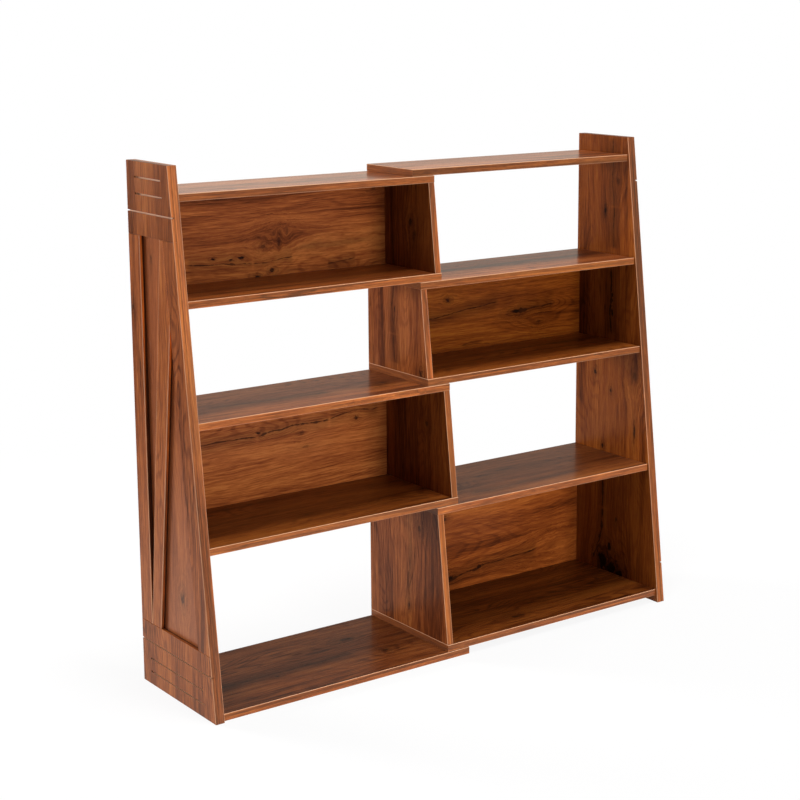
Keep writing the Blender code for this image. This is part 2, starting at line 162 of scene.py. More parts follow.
def use_group(tree, group, inputs):
    """Puts a reusable circuit into a material."""
    made = tree.nodes.new("ShaderNodeGroup")
    made.node_tree = group
    for name, value in inputs.items():
        plug(tree, made.inputs[name], value)
    return made


print("helpers for reusable circuits ready")

# %% [markdown]
# ## Figure of the walnut
# The boards carry a printed smoked-walnut decor: brown streaks as long as a hand, finer
# lines between them, thin black splits, and pores that can be felt. One circuit makes all
# of it from three measures in metres: along the grain, across it and through the board.
# Three more numbers say how dark a knot is at that point, how much of the ring pattern
# shows, and how lively the tones are.
# Noise that is stretched along the grain gives streaks; the same noise, sampled after the
# across measure has been pushed about, gives lines that wander as grown wood does. A
# picture of wood would be quicker, but it repeats, and it can't flow round a knot.
# Each layer of noise is written as its scale along the grain, its scale across it, its
# detail and its roughness, and each bend as two scales, its detail and how far it pushes.

# %% Colours and layers of the walnut figure
GRAIN_DARK = linear(76, 34, 14)
GRAIN_BROWN = linear(121, 60, 27)
GRAIN_RED = linear(150, 80, 38)
GRAIN_LIGHT = linear(180, 106, 52)
SPLIT_BLACK = linear(30, 13, 7)
TONE_STOPS = ((0.26, GRAIN_DARK), (0.43, GRAIN_BROWN), (0.57, GRAIN_RED), (0.74, GRAIN_LIGHT))
BENDS = {"wander": (1.5, 6.5, 1.0, 0.046), "ripple": (17.0, 36.0, 2.0, 0.0042)}
LAYERS = {
    "plank": (0.9, 11.0, 1.0, 0.5),
    "streak": (2.4, 44.0, 3.0, 0.55),
    "line": (8.0, 230.0, 3.0, 0.65),
    "fibre": (24.0, 560.0, 2.0, 0.7),
    "pore": (70.0, 1500.0, 1.0, 0.5),
    "smoke": (1.3, 22.0, 2.0, 0.5),
    "ring": (3.4, 13.0, 1.0, 0.4),
    "ring_place": (1.7, 8.0, 1.0, 0.5),
    "vein": (1.5, 24.0, 4.0, 0.62),
    "vein_place": (3.1, 9.0, 1.0, 0.5),
}
LAYER_SHARES = {"plank": 0.55, "streak": 0.44, "line": 0.62, "fibre": 0.60}
TONE_START = -0.275
TONE_MIDDLE = 0.785
RINGS_IN_A_METRE = 95.0
RING_WANDER = 19.0
RING_ROUGHNESS = 0.50
RING_SHARE = -0.15
SMOKE_SHARE = -0.20
SPLIT_SHARE = 0.60
PORE_SHARE = 0.28
RING_EDGE, RING_PLACES = (0.15, 1.0), (0.36, 0.60)
SMOKE_PLACES = (0.55, 0.72)
SPLIT_HALF, SPLIT_PLACES = (0.016, 0.002), (0.56, 0.70)
PORE_EDGE = (0.42, 0.30)
LINE_RELIEF, FLAT_RELIEF = 0.35, 0.65
PORE_DEPTH, SPLIT_DEPTH = 0.6, 0.5
print(len(LAYERS), "layers of noise")


# %% Walnut figure
def stretched(tree, measures, along_scale, across_scale):
    """The measures along, across and through, scaled, as one vector."""
    scales = (along_scale, across_scale, across_scale)
    scaled = [reckon(tree, "MULTIPLY", value, scale) for value, scale in zip(measures, scales)]
    return part(tree, "CombineXYZ", dict(zip("XYZ", scaled))).outputs[0]


figure, entry, leave = new_group(
    "walnut_figure", ("Along", "Across", "Through", "Knot", "Rings", "Life"),
    {"Colour": "Color", "Relief": "Float"})
along, across, through, dark, ring_amount, life = entry.outputs[:6]
pushes = []
for along_scale, across_scale, detail, reach in BENDS.values():
    bend = noise(figure, stretched(figure, (along, across, through), along_scale,
                                   across_scale), detail)
    pushes.append((bend, reach))
for bend, reach in pushes:
    across = reckon(figure, "MULTIPLY_ADD", bend, reach, across)
layer = {}
for name, (along_scale, across_scale, detail, roughness) in LAYERS.items():
    layer[name] = noise(figure, stretched(figure, (along, across, through), along_scale,
                                          across_scale), detail, roughness)
rings = reckon(figure, "MULTIPLY_ADD", layer["ring"], RING_WANDER,
               reckon(figure, "MULTIPLY", across, RINGS_IN_A_METRE))
rings = reckon(figure, "MULTIPLY_ADD", layer["line"], RING_ROUGHNESS, rings)
rings = reckon(figure, "SINE", reckon(figure, "MULTIPLY", rings, 2 * pi))
rings = reckon(figure, "MULTIPLY", ease(figure, rings, *RING_EDGE),
               ease(figure, layer["ring_place"], *RING_PLACES))
rings = reckon(figure, "MULTIPLY", rings, ring_amount)
tone = TONE_START
for name, share in LAYER_SHARES.items():
    tone = reckon(figure, "MULTIPLY_ADD", layer[name], share, tone)
tone = reckon(figure, "MULTIPLY_ADD", rings, RING_SHARE, tone)
smoke = ease(figure, layer["smoke"], *SMOKE_PLACES)
tone = reckon(figure, "MULTIPLY_ADD", smoke, SMOKE_SHARE, tone)
tone = reckon(figure, "MULTIPLY_ADD", reckon(figure, "SUBTRACT", tone, TONE_MIDDLE), life, 0.5)
ramp = part(figure, "ValToRGB", {"Fac": tone})
for stop, (place, colour) in enumerate(TONE_STOPS):
    if stop > 1:
        ramp.color_ramp.elements.new(place)
    ramp.color_ramp.elements[stop].position = place
    ramp.color_ramp.elements[stop].color = colour
vein = reckon(figure, "ABSOLUTE", reckon(figure, "SUBTRACT", layer["vein"], 0.5))
split = reckon(figure, "MULTIPLY", ease(figure, vein, *SPLIT_HALF),
               ease(figure, layer["vein_place"], *SPLIT_PLACES))
pores = ease(figure, layer["pore"], *PORE_EDGE)
black = reckon(figure, "MULTIPLY", reckon(figure, "MULTIPLY", split, SPLIT_SHARE), life)
colour = tint(figure, black, ramp.outputs["Color"], SPLIT_BLACK)
colour = tint(figure, reckon(figure, "MULTIPLY", pores, PORE_SHARE), colour, GRAIN_DARK)
colour = tint(figure, dark, colour, SPLIT_BLACK)
relief = reckon(figure, "MULTIPLY_ADD", layer["line"], LINE_RELIEF, FLAT_RELIEF)
relief = reckon(figure, "SUBTRACT", relief, reckon(figure, "MULTIPLY", pores, PORE_DEPTH))
relief = reckon(figure, "SUBTRACT", relief, reckon(figure, "MULTIPLY", split, SPLIT_DEPTH))
figure.links.new(colour, leave.inputs["Colour"])
figure.links.new(relief, leave.inputs["Relief"])
print("walnut_figure has", len(figure.nodes), "nodes")

# %% [markdown]
# ## Knots
# Where a branch grew, the grain parts and closes again behind a dark eye. The circuit does
# both: it squeezes the across measure towards the middle of the knot, which bends every
# line that is drawn from it, and it darkens the eye and a few rings about it. Dark spots
# alone would look like stains, because the grain would run straight through them.

# %% Knot circuit
EDGE_SWING, EDGE_REACH = 1.9, 0.95
KNOT_FADE = -0.22
KNOT_PULL = -0.78
KNOT_RINGS, KNOT_RING_SHARE = 6.5, 0.30
KNOT_RING_EDGE = (0.1, 1.0)
EYE_EDGE, EYE_SHARE = (1.05, 0.05), 0.72
HALO_SHARE = 0.34
KNOT_SEED = 37.0
EDGE_NOISE = {"detail": 3.0, "roughness": 0.65, "scale": 1.3}
knot, entry, leave = new_group(
    "knot", ("Along", "Across", "At Along", "At Across", "Half Length", "Half Width",
             "Strength"), {"Across": "Float", "Dark": "Float"})
along, across, at_along, at_across, half_length, half_width, strength = entry.outputs[:7]
off_along = reckon(knot, "SUBTRACT", along, at_along)
off_across = reckon(knot, "SUBTRACT", across, at_across)
shape = part(knot, "CombineXYZ", {
    "X": reckon(knot, "DIVIDE", off_along, half_length),
    "Y": reckon(knot, "DIVIDE", off_across, half_width),
    "Z": reckon(knot, "MULTIPLY", at_along, KNOT_SEED)}).outputs[0]
rough_edge = noise(knot, shape, **EDGE_NOISE)
flat = part(knot, "VectorMath", {0: shape, 1: (1.0, 1.0, 0.0)}, operation="MULTIPLY")
radius = part(knot, "VectorMath", {0: flat.outputs[0]}, operation="LENGTH").outputs["Value"]
radius = reckon(knot, "MULTIPLY_ADD", rough_edge, EDGE_SWING,
                reckon(knot, "SUBTRACT", radius, EDGE_REACH))
reach = reckon(knot, "EXPONENT", reckon(knot, "MULTIPLY", reckon(
    knot, "MULTIPLY", radius, radius), KNOT_FADE))
pull = reckon(knot, "MULTIPLY", reckon(knot, "MULTIPLY", off_across, reach), KNOT_PULL)
rings = reckon(knot, "SINE", reckon(knot, "MULTIPLY", radius, KNOT_RINGS))
rings = reckon(knot, "MULTIPLY", ease(knot, rings, *KNOT_RING_EDGE),
               reckon(knot, "MULTIPLY", reach, KNOT_RING_SHARE))
eye = ease(knot, radius, *EYE_EDGE)
dark = reckon(knot, "MULTIPLY_ADD", eye, EYE_SHARE, rings)
dark = reckon(knot, "MULTIPLY_ADD", reach, HALO_SHARE, dark)
dark = reckon(knot, "MULTIPLY", dark, strength, clamp=True)
knot.links.new(reckon(knot, "ADD", across, pull), leave.inputs["Across"])
knot.links.new(dark, leave.inputs["Dark"])
print("knot has", len(knot.nodes), "nodes")

# %% [markdown]
# ## Long splits
# The decor also shows a few long black splits that run from knot to knot. Each one is a
# straight run from one point to another that a little noise makes uneven, in place and in
# width, so that it breaks up here and there like a real drying crack. The splits belong to
# the printed decor and can't be felt, so they are drawn and not cut into the mesh.

# %% Split circuit
WOBBLE = 0.022
BREAK_SWING, BREAK_START = 3.8, -1.05
THINNEST = 0.0002
CORE_EDGE, CORE_SHARE = (1.5, 0.5), 0.88
SOFT_REACH, SOFT_SHARE = 0.007, 0.50
SHADE_REACH, SHADE_SHARE = 0.032, 0.38
WOBBLE_NOISE = {"detail": 3.0, "roughness": 0.45, "scale": 11.0}
BREAK_NOISE = {"detail": 2.0, "roughness": 0.6, "scale": 60.0}
SPLIT_STARTS, SPLIT_STOPS = (-0.04, 0.06), (1.04, 0.94)
long_split, entry, leave = new_group(
    "long_split", ("Along", "Across", "From Along", "From Across", "To Along", "To Across",
                   "Half Width"), {"Dark": "Float"})
along, across, from_along, from_across, to_along, to_across, half_width = entry.outputs[:7]
run = reckon(long_split, "SUBTRACT", to_along, from_along)
share = reckon(long_split, "DIVIDE", reckon(long_split, "SUBTRACT", along, from_along), run)
rise = reckon(long_split, "SUBTRACT", to_across, from_across)
middle = reckon(long_split, "MULTIPLY_ADD", share, rise, from_across)
place = part(long_split, "CombineXYZ", {"X": along, "Y": from_across}).outputs[0]
wobble = noise(long_split, place, **WOBBLE_NOISE)
middle = reckon(long_split, "MULTIPLY_ADD", reckon(long_split, "SUBTRACT", wobble, 0.5),
                WOBBLE, middle)
breaks = noise(long_split, place, **BREAK_NOISE)
width = reckon(long_split, "MULTIPLY", half_width,
               reckon(long_split, "MULTIPLY_ADD", breaks, BREAK_SWING, BREAK_START))
away = reckon(long_split, "ABSOLUTE", reckon(long_split, "SUBTRACT", across, middle))
core = ease(long_split, reckon(long_split, "DIVIDE", away, reckon(
    long_split, "MAXIMUM", width, THINNEST)), *CORE_EDGE)
soft = reckon(long_split, "MULTIPLY", ease(long_split, away, SOFT_REACH, 0.0), SOFT_SHARE)
shade = reckon(long_split, "MULTIPLY", ease(long_split, away, SHADE_REACH, 0.0), SHADE_SHARE)
soft = reckon(long_split, "MAXIMUM", soft, shade)
ends = reckon(long_split, "MULTIPLY", ease(long_split, share, *SPLIT_STARTS),
              ease(long_split, share, *SPLIT_STOPS))
dark = reckon(long_split, "MAXIMUM", reckon(long_split, "MULTIPLY", core, CORE_SHARE), soft)
long_split.links.new(reckon(long_split, "MULTIPLY", dark, ends), leave.inputs["Dark"])
print("long_split has", len(long_split.nodes), "nodes")

# %% [markdown]
# ## From the circuits to one piece
# Every piece gets its own material, because its grain runs its own way and its knots have
# their own places. A knot is written as five numbers: where its middle lies along and
# across the grain, half its length, half its width and its strength. A split is written as
# the two points that it joins, and half its width. For each kind of piece the axes are
# named that run along, across and through its grain, and the two that its end grain takes.
# A strip of lighter decor covers each cut edge, with a painted highlight on the arris: a
# thin pale line that stands in for the light an eased arris catches. The material finds these
# faces by the way they look (the normal) and the highlight by how far a point lies from the
# arris. The look of a piece then comes from a few words: its tone, its warmth, how lively its
# figure is, and how bright its strip is.

# %% Colours and shares that all the wood has in common
# The pale arris colour is a painted highlight, standing in for the light that an eased arris
# catches.
EDGE_HIGHLIGHT = linear(222, 170, 132)
HIGHLIGHT_WIDTH = (0.0013, 0.000585)
HIGHLIGHT_SHARE = 0.85
STRIP_TAN = linear(198, 160, 124)
STRIP_TAN_SHARE = 0.06
STRIP_WARMTH = 0.7
END_GRAIN_TONE = 0.85
GREEN_LOSS, BLUE_LOSS = 0.09, 0.42
SAWN_ALONG, SAWN_ACROSS = 2.2, 170.0
SAWN_DARKEST, SAWN_SWING = 0.74, 0.46
SAWN_EDGE = (0.40, 0.62)
SEED_ALONG, SEED_THROUGH = 3.17, 1.93
FACING_FRONT = (-0.35, -0.5)
FACING_SQUARELY = (0.6, 0.8)
FRONT_SLOPE = 0.12130
FRONT_AT_FLOOR = -0.1505
GRAINS = {"shelf": ("XYZ", "YZ"), "back": ("XZY", "YZ"), "upright": ("ZYX", "YX")}
WOOD_SPECULAR = 0.08
WOOD_ROUGHNESS, RELIEF_SHEEN = 0.60, -0.20
RELIEF_STRENGTH, RELIEF_DEPTH = 0.22, 0.0004
print("the front edges lean back", round(FRONT_SLOPE * 1000), "mm in a metre")


# %% Helpers that measure a piece
def measures_of(tree):
    """The point and the direction that a face looks in, on the piece itself."""
    source = part(tree, "TexCoord")
    point = part(tree, "SeparateXYZ", {0: source.outputs["Object"]}).outputs
    facing = part(tree, "SeparateXYZ", {0: source.outputs["Normal"]}).outputs
    return point, facing


def choose(tree, amount, first, second):
    """The first number where the amount is 0, the second where it is 1."""
    made = part(tree, "Mix", data_type="FLOAT")
    for socket, value in zip(made.inputs[:1] + made.inputs[2:4], (amount, first, second)):
        plug(tree, socket, value)
    return made.outputs[0]


def arris(tree, first, second):
    """1 along the line where two faces meet, from the distances to both: where the painted
    highlight lies.
    """
    squares = [reckon(tree, "MULTIPLY", value, value) for value in (first, second)]
    away = reckon(tree, "SQRT", reckon(tree, "ADD", *squares))
    return ease(tree, away, *HIGHLIGHT_WIDTH)


def upright_strip(tree, facing):
    """1 on the faces of an upright that look ahead or to the rear, where its strip lies."""
    return reckon(tree, "MAXIMUM", ease(tree, facing[1], *FACING_FRONT),
                  ease(tree, facing[1], *FACING_SQUARELY))


def behind_front(tree, point, setback=0.0):
    """How far a point lies behind an upright's sloping front edge."""
    level = reckon(tree, "MULTIPLY_ADD", point[2], -FRONT_SLOPE, point[1])
    return reckon(tree, "SUBTRACT", level, FRONT_AT_FLOOR + setback)


def before_line(tree, point, at_floor, slope):
    """How far a point lies before a leaning line on a side's outer face."""
    line = reckon(tree, "MULTIPLY_ADD", point[2], slope, at_floor)
    return reckon(tree, "SUBTRACT", line, point[1])


print("measuring helpers ready")


# %% Laying knots and splits into the grain
def darks_of(tree, along, across, strip, knots, splits):
    """The across measure, bent round the knots, and the dark of knots and splits."""
    darks = []
    for at_along, at_across, half_length, half_width, strength in knots:
        made = use_group(tree, knot, {"Along": along, "Across": across,
                                      "At Along": at_along, "At Across": at_across,
                                      "Half Length": half_length,
                                      "Half Width": half_width, "Strength": strength})
        across = made.outputs["Across"]
        darks.append(made.outputs["Dark"])
    for start, stop, half_width in splits:
        made = use_group(tree, long_split, {
            "Along": along, "Across": across, "From Along": start[0],
            "From Across": start[1], "To Along": stop[0], "To Across": stop[1],
            "Half Width": half_width})
        darks.append(made.outputs["Dark"])
    if not darks:
        return across, 0.0
    dark = darks[0]
    for other in darks[1:]:
        dark = reckon(tree, "MAXIMUM", dark, other)
    return across, reckon(tree, "MULTIPLY", dark, reckon(tree, "SUBTRACT", 1.0, strip))


print("knots and splits can be laid")


# %% Stain and sheen
def stain_of(tree, strip, end, measures, tone, warmth, strip_tone):
    """The colour that the figure is multiplied by: tone and warmth of face and strip."""
    sawn = noise(tree, stretched(tree, measures, SAWN_ALONG, SAWN_ACROSS), 1.0)
    sawn = reckon(tree, "MULTIPLY_ADD", ease(tree, sawn, *SAWN_EDGE),
                  SAWN_SWING * strip_tone, SAWN_DARKEST * strip_tone)
    bright = choose(tree, strip, tone, choose(tree, end, sawn, END_GRAIN_TONE))
    green, blue = [reckon(tree, "MULTIPLY", bright, choose(
        tree, strip, 1.0 - loss * warmth, 1.0 - loss * STRIP_WARMTH))
                   for loss in (GREEN_LOSS, BLUE_LOSS)]
    return part(tree, "CombineColor", {0: bright, 1: green, 2: blue}).outputs[0]


def dress_shader(tree, colour, relief, coat, coat_roughness):
    """Wires colour and relief to the shader and sets its lacquer."""
    shader = tree.nodes["Principled BSDF"]
    plug(tree, shader.inputs["Base Color"], colour)
    shader.inputs["Specular IOR Level"].default_value = WOOD_SPECULAR
    shader.inputs["Coat Weight"].default_value = coat
    shader.inputs["Coat Roughness"].default_value = coat_roughness
    plug(tree, shader.inputs["Roughness"], reckon(
        tree, "MULTIPLY_ADD", relief, RELIEF_SHEEN, WOOD_ROUGHNESS))
    bump = part(tree, "Bump", {"Strength": RELIEF_STRENGTH, "Distance": RELIEF_DEPTH,
                               "Height": relief})
    plug(tree, shader.inputs["Normal"], bump.outputs[0])


print("stain and sheen ready")


# %% Wood of one piece
def finish_wood(kind, tree, point, facing, strip, highlight_lines, knots, splits, seed, coat,
                coat_roughness, tone=1.0, warmth=0.0, rings=1.0, life=1.0, strip_seed=0.0,
                strip_tone=1.0):
    """Puts figure, knots, edge strips and sheen together on one material's tree."""
    axes = dict(zip("XYZ", point))
    order, end_order = GRAINS[kind]
    along, across, through = [axes[axis] for axis in order]
    along_end, across_end = [axes[axis] for axis in end_order]
    end = reckon(tree, "ABSOLUTE", facing["XYZ".index(order[0])])
    end = ease(tree, end, *FACING_SQUARELY)
    across, dark = darks_of(tree, along, across, strip, knots, splits)
    if kind == "upright":
        across = choose(tree, strip, across, axes["X"])
        through = choose(tree, strip, through, 0.0)
    along = choose(tree, end, along, along_end)
    across = choose(tree, end, across, across_end)
    offset = choose(tree, strip, float(seed), strip_seed)
    made = use_group(tree, figure, {
        "Along": reckon(tree, "MULTIPLY_ADD", offset, SEED_ALONG, along), "Across": across,
        "Through": reckon(tree, "MULTIPLY_ADD", offset, SEED_THROUGH, through), "Knot": dark,
        "Rings": choose(tree, strip, rings, 0.0), "Life": choose(tree, strip, life, 1.0)})
    stain = stain_of(tree, strip, end, (along, across, through), tone, warmth, strip_tone)
    colour = tint(tree, 1.0, made.outputs["Colour"], stain, "MULTIPLY")
    colour = tint(tree, reckon(tree, "MULTIPLY", strip, STRIP_TAN_SHARE), colour, STRIP_TAN)
    # painted highlight along the arrises
    colour = tint(tree, reckon(tree, "MULTIPLY", highlight_lines, HIGHLIGHT_SHARE), colour, EDGE_HIGHLIGHT)
    dress_shader(tree, colour, made.outputs["Relief"], coat, coat_roughness)
    return colour


print("wood can be finished")


# %% Laying the wood on a piece
def hang(name, material):
    """Gives a piece of the frame its finish."""
    piece = nodes[name]
    piece.data.materials.clear()
    piece.data.materials.append(material)


def new_wood(name):
    """A fresh material with its tree."""
    material = bpy.data.materials.new("walnut_" + name)
    material.use_nodes = True
    return material, material.node_tree


print("wood is ready to be laid on the pieces")

# %% [markdown]
# ## Shelves
# A shelf's grain runs along its length. Its front edge and its free end carry the strip.
# The tops are the smoothest faces of the bookcase: from a low view they mirror the white
# room, which is why they look greyer than the backs behind them. One material could serve
# all ten boards, but each was sawn from its own stretch of decor, so each has its own seed,
# and most have their own tone and knots. The low tones of left_lower_shelf and
# right_floor_board, floors inside the boxes, are painted shade.

# %% Knots, splits and looks of the shelf boards
SHELF_KNOTS = {
    "left_floor_board": [(-0.1640, 0.0562, 0.036, 0.012, 0.7),
                         (-0.1264, -0.0476, 0.014, 0.008, 0.8),
                         (-0.3897, -0.0366, 0.012, 0.006, 0.8)],
    "left_middle_shelf": [(-0.0816, 0.0213, 0.030, 0.010, 0.7),
                          (-0.0866, -0.0898, 0.020, 0.008, 0.8),
                          (-0.2363, -0.0897, 0.020, 0.006, 0.5)],
    "left_lower_shelf": [(-0.30, -0.02, 0.012, 0.006, 0.7)],
    "right_second_shelf": [(0.30, 0.04, 0.014, 0.006, 0.6)],
    "right_floor_board": [(0.2013, -0.0878, 0.018, 0.009, 0.9),
                          (0.3045, -0.0285, 0.030, 0.010, 0.4)],
    "right_lower_shelf": [(0.2026, 0.0453, 0.030, 0.008, 0.5),
                          (0.2808, 0.0616, 0.030, 0.008, 0.4)],
}
SHELF_SPLITS = {
    "left_floor_board": [((-0.5600, -0.018), (-0.3675, -0.0240), 0.0018),
                         ((-0.3675, -0.0240), (-0.1961, -0.0218), 0.0016)],
    "left_middle_shelf": [((-0.50, 0.03), (-0.22, 0.01), 0.0010)],
    "right_lower_shelf": [((0.10, -0.06), (0.42, -0.05), 0.0010)],
}
SHELF_LOOK = {"coat": 0.28, "coat_roughness": 0.16}
# the low tones of left_lower_shelf and right_floor_board are painted shade inside the boxes
SHELF_LOOKS = {
    "left_top_shelf": {"coat": 0.50, "strip_tone": 0.70},
    "left_second_shelf": {"tone": 0.80, "warmth": 0.6, "strip_tone": 0.98},
    "left_middle_shelf": {"tone": 0.82, "strip_tone": 1.05},
    "left_lower_shelf": {"tone": 0.56, "warmth": 1.0, "life": 1.2, "strip_tone": 0.80},
    "left_floor_board": {"tone": 0.52, "life": 1.2, "strip_tone": 0.87},
    "right_top_shelf": {"coat": 0.40, "strip_tone": 0.57},
    "right_second_shelf": {"strip_tone": 0.73},
    "right_middle_shelf": {"tone": 0.66, "warmth": 1.0, "strip_tone": 0.76},
    "right_lower_shelf": {"tone": 0.59, "strip_tone": 1.13},
    "right_floor_board": {"tone": 0.48, "warmth": 1.0, "life": 1.5, "strip_tone": 0.83},
}
UNDER_HIGHLIGHT = 0.35
print(sum(len(knots) for knots in SHELF_KNOTS.values()), "knots on the shelf boards")

# %% Ten shelf boards
for seed, name in enumerate(sorted(SHELF_LOOKS)):
    low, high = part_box(name)
    material, tree = new_wood(name)
    point, facing = measures_of(tree)
    strip = reckon(tree, "MAXIMUM", ease(tree, facing[1], *FACING_FRONT),
                   ease(tree, reckon(tree, "ABSOLUTE", facing[0]), *FACING_SQUARELY))
    front = reckon(tree, "SUBTRACT", point[1], low.y)
    free_end = high.x if name.startswith("left") else low.x
    beside = reckon(tree, "ABSOLUTE", reckon(tree, "SUBTRACT", point[0], free_end))
    above = reckon(tree, "SUBTRACT", high.z, point[2])
    below = reckon(tree, "SUBTRACT", point[2], low.z)
    # painted highlight on the top arrises, weaker on the front arris below
    highlight_lines = reckon(tree, "MAXIMUM", arris(tree, front, above), arris(tree, beside, above))
    highlight_lines = reckon(tree, "MAXIMUM", highlight_lines, reckon(
        tree, "MULTIPLY", arris(tree, front, below), UNDER_HIGHLIGHT))
    finish_wood("shelf", tree, point, facing, strip, highlight_lines, SHELF_KNOTS.get(name, []),
                SHELF_SPLITS.get(name, []), seed, **(SHELF_LOOK | SHELF_LOOKS[name]))
    hang(name, material)
print(len(SHELF_LOOKS), "shelf boards finished")

# %% [markdown]
# ## Backs
# The thin backs carry the liveliest part of the decor: rows of knots with splits between
# them. Their grain runs level too, but a back stands on end, so its grain is measured
# across by height and not by depth, as a shelf's is. Its lacquer is thinner.

# %% Knots, splits and looks of the backs
BACK_KNOTS = {
    "left_upper_box_back": [(-0.4158, 0.8667, 0.009, 0.004, 1.0),
                            (-0.3727, 0.8613, 0.010, 0.0045, 1.0),
                            (-0.3494, 0.8626, 0.011, 0.005, 1.0),
                            (-0.2967, 0.8822, 0.018, 0.012, 0.55),
                            (-0.2661, 0.9046, 0.030, 0.015, 0.15),
                            (-0.2573, 0.8980, 0.004, 0.008, 0.6),
                            (-0.2373, 0.9078, 0.006, 0.006, 0.4),
                            (-0.2752, 0.8318, 0.011, 0.010, 0.8),
                            (-0.3099, 0.8218, 0.010, 0.006, 0.9),
                            (-0.0180, 0.9880, 0.014, 0.007, 0.5),
                            (-0.1300, 0.8760, 0.150, 0.016, 0.36)],
    "left_lower_box_back": [(-0.3162, 0.4862, 0.012, 0.006, 0.8),
                            (-0.2113, 0.4699, 0.012, 0.008, 0.4),
                            (-0.0694, 0.4838, 0.012, 0.007, 0.7),
                            (-0.2022, 0.4392, 0.020, 0.004, 0.4)],
    "right_upper_box_back": [(0.3833, 0.6734, 0.022, 0.008, 1.0),
                             (0.1853, 0.7198, 0.011, 0.009, 0.7),
                             (0.4506, 0.6428, 0.012, 0.008, 0.5)],
    "right_lower_box_back": [(0.1926, 0.0607, 0.014, 0.010, 1.0),
                             (0.2747, 0.0725, 0.012, 0.007, 0.8),
                             (0.1756, 0.2074, 0.010, 0.008, 0.7),
                             (0.5100, 0.0800, 0.055, 0.022, 0.10)],
}
BACK_SPLITS = {
    "left_upper_box_back": [((-0.4751, 0.8606), (-0.3216, 0.8640), 0.0018),
                            ((-0.3216, 0.8640), (-0.2243, 0.8679), 0.0016),
                            ((-0.1369, 0.8426), (-0.0656, 0.8473), 0.0014)],
    "left_lower_box_back": [((-0.5600, 0.4760), (-0.3205, 0.4811), 0.0014),
                            ((-0.3205, 0.4811), (-0.1387, 0.4923), 0.0022),
                            ((-0.1387, 0.4923), (-0.0100, 0.5010), 0.0012)],
    "right_upper_box_back": [((0.3833, 0.6734), (0.4951, 0.6807), 0.0020),
                             ((0.1238, 0.6851), (0.3273, 0.6990), 0.0014)],
    "right_lower_box_back": [((0.0400, 0.0520), (0.1810, 0.0536), 0.0014),
                             ((0.1816, 0.0593), (0.2794, 0.0720), 0.0018),
                             ((0.2794, 0.0720), (0.4502, 0.0809), 0.0012)],
}
BACK_LOOK = {"coat": 0.12, "coat_roughness": 0.26, "rings": 0.7}
BACK_LOOKS = {
    "left_upper_box_back": {"seed": 21, "tone": 0.80},
    "left_lower_box_back": {"seed": 27, "tone": 0.84},
    "right_upper_box_back": {"seed": 23, "tone": 0.51, "warmth": 1.4},
    "right_lower_box_back": {"seed": 22, "tone": 0.86, "warmth": 0.8, "life": 0.84},
}
print(sum(len(knots) for knots in BACK_KNOTS.values()), "knots on the backs")

# %% Four backs
for name in sorted(BACK_LOOKS):
    material, tree = new_wood(name)
    point, facing = measures_of(tree)
    finish_wood("back", tree, point, facing, 0.0, 0.0, BACK_KNOTS[name], BACK_SPLITS[name],
                **(BACK_LOOK | BACK_LOOKS[name]))
    hang(name, material)
print(len(BACK_LOOKS), "backs finished")

# %% [markdown]
# ## Uprights
# Side panels and box walls stand on end, and so does their grain. Their front edges lean
# back as they rise. The strip on such an edge takes its across measure from the thickness
# of the board, so that its lines run up the slope with it.
# On the outer face of a side panel lie two three-cornered recesses. Along the feet of their
# walls painted shade follows the stile and the brace there: a soft warm brown band, shade
# lit by bounce light, with a dark core. A leaning line is written as its place at the floor
# and its slope; a recess foot adds the height at which it ends and the width of its dark
# core. The shade is painted into the panel's colour, not cast by a lamp.

# %% Knots, splits and looks of the uprights
UPRIGHT_KNOTS = {
    "right_side_panel": [(0.9039, 0.0527, 0.012, 0.006, 0.9),
                         (0.9766, 0.0092, 0.014, 0.009, 0.5),
                         (0.7088, 0.0238, 0.009, 0.004, 0.9),
                         (0.6668, 0.0238, 0.013, 0.006, 1.0),
                         (0.5165, 0.0808, 0.012, 0.007, 0.8),
                         (0.4777, 0.0249, 0.008, 0.005, 0.8),
                         (0.5260, -0.0553, 0.030, 0.018, 0.45),
                         (0.3384, 0.0509, 0.009, 0.006, 0.9),
                         (0.1653, -0.0001, 0.012, 0.006, 0.7),
                         (0.0560, 0.0450, 0.028, 0.017, 1.7),
                         (0.0400, 0.0240, 0.022, 0.022, 1.7),
                         (0.0320, 0.0020, 0.014, 0.018, 1.4),
                         (0.0920, 0.0280, 0.016, 0.008, 1.0),
                         (0.3934, -0.0590, 0.024, 0.004, 1.0)],
    "left_side_panel": [(0.2186, -0.0149, 0.026, 0.013, 0.60),
                        (0.8870, 0.0738, 0.018, 0.005, 0.5),
                        (0.5200, 0.0500, 0.014, 0.006, 0.7)],
    "right_upper_box_wall": [(0.6082, -0.0467, 0.012, 0.009, 1.0),
                             (0.7336, 0.0491, 0.012, 0.005, 0.7)],
    "right_lower_box_wall": [(0.2641, -0.0377, 0.014, 0.010, 0.6),
                             (0.0799, 0.0021, 0.014, 0.006, 0.8),
                             (0.2000, -0.0040, 0.110, 0.012, 0.40)],
    "left_upper_box_wall": [(0.9203, 0.0447, 0.016, 0.012, 0.7),
                            (0.8884, 0.0378, 0.024, 0.008, 0.6)],
    "left_lower_box_wall": [(0.4861, -0.0105, 0.014, 0.009, 0.6)],
}
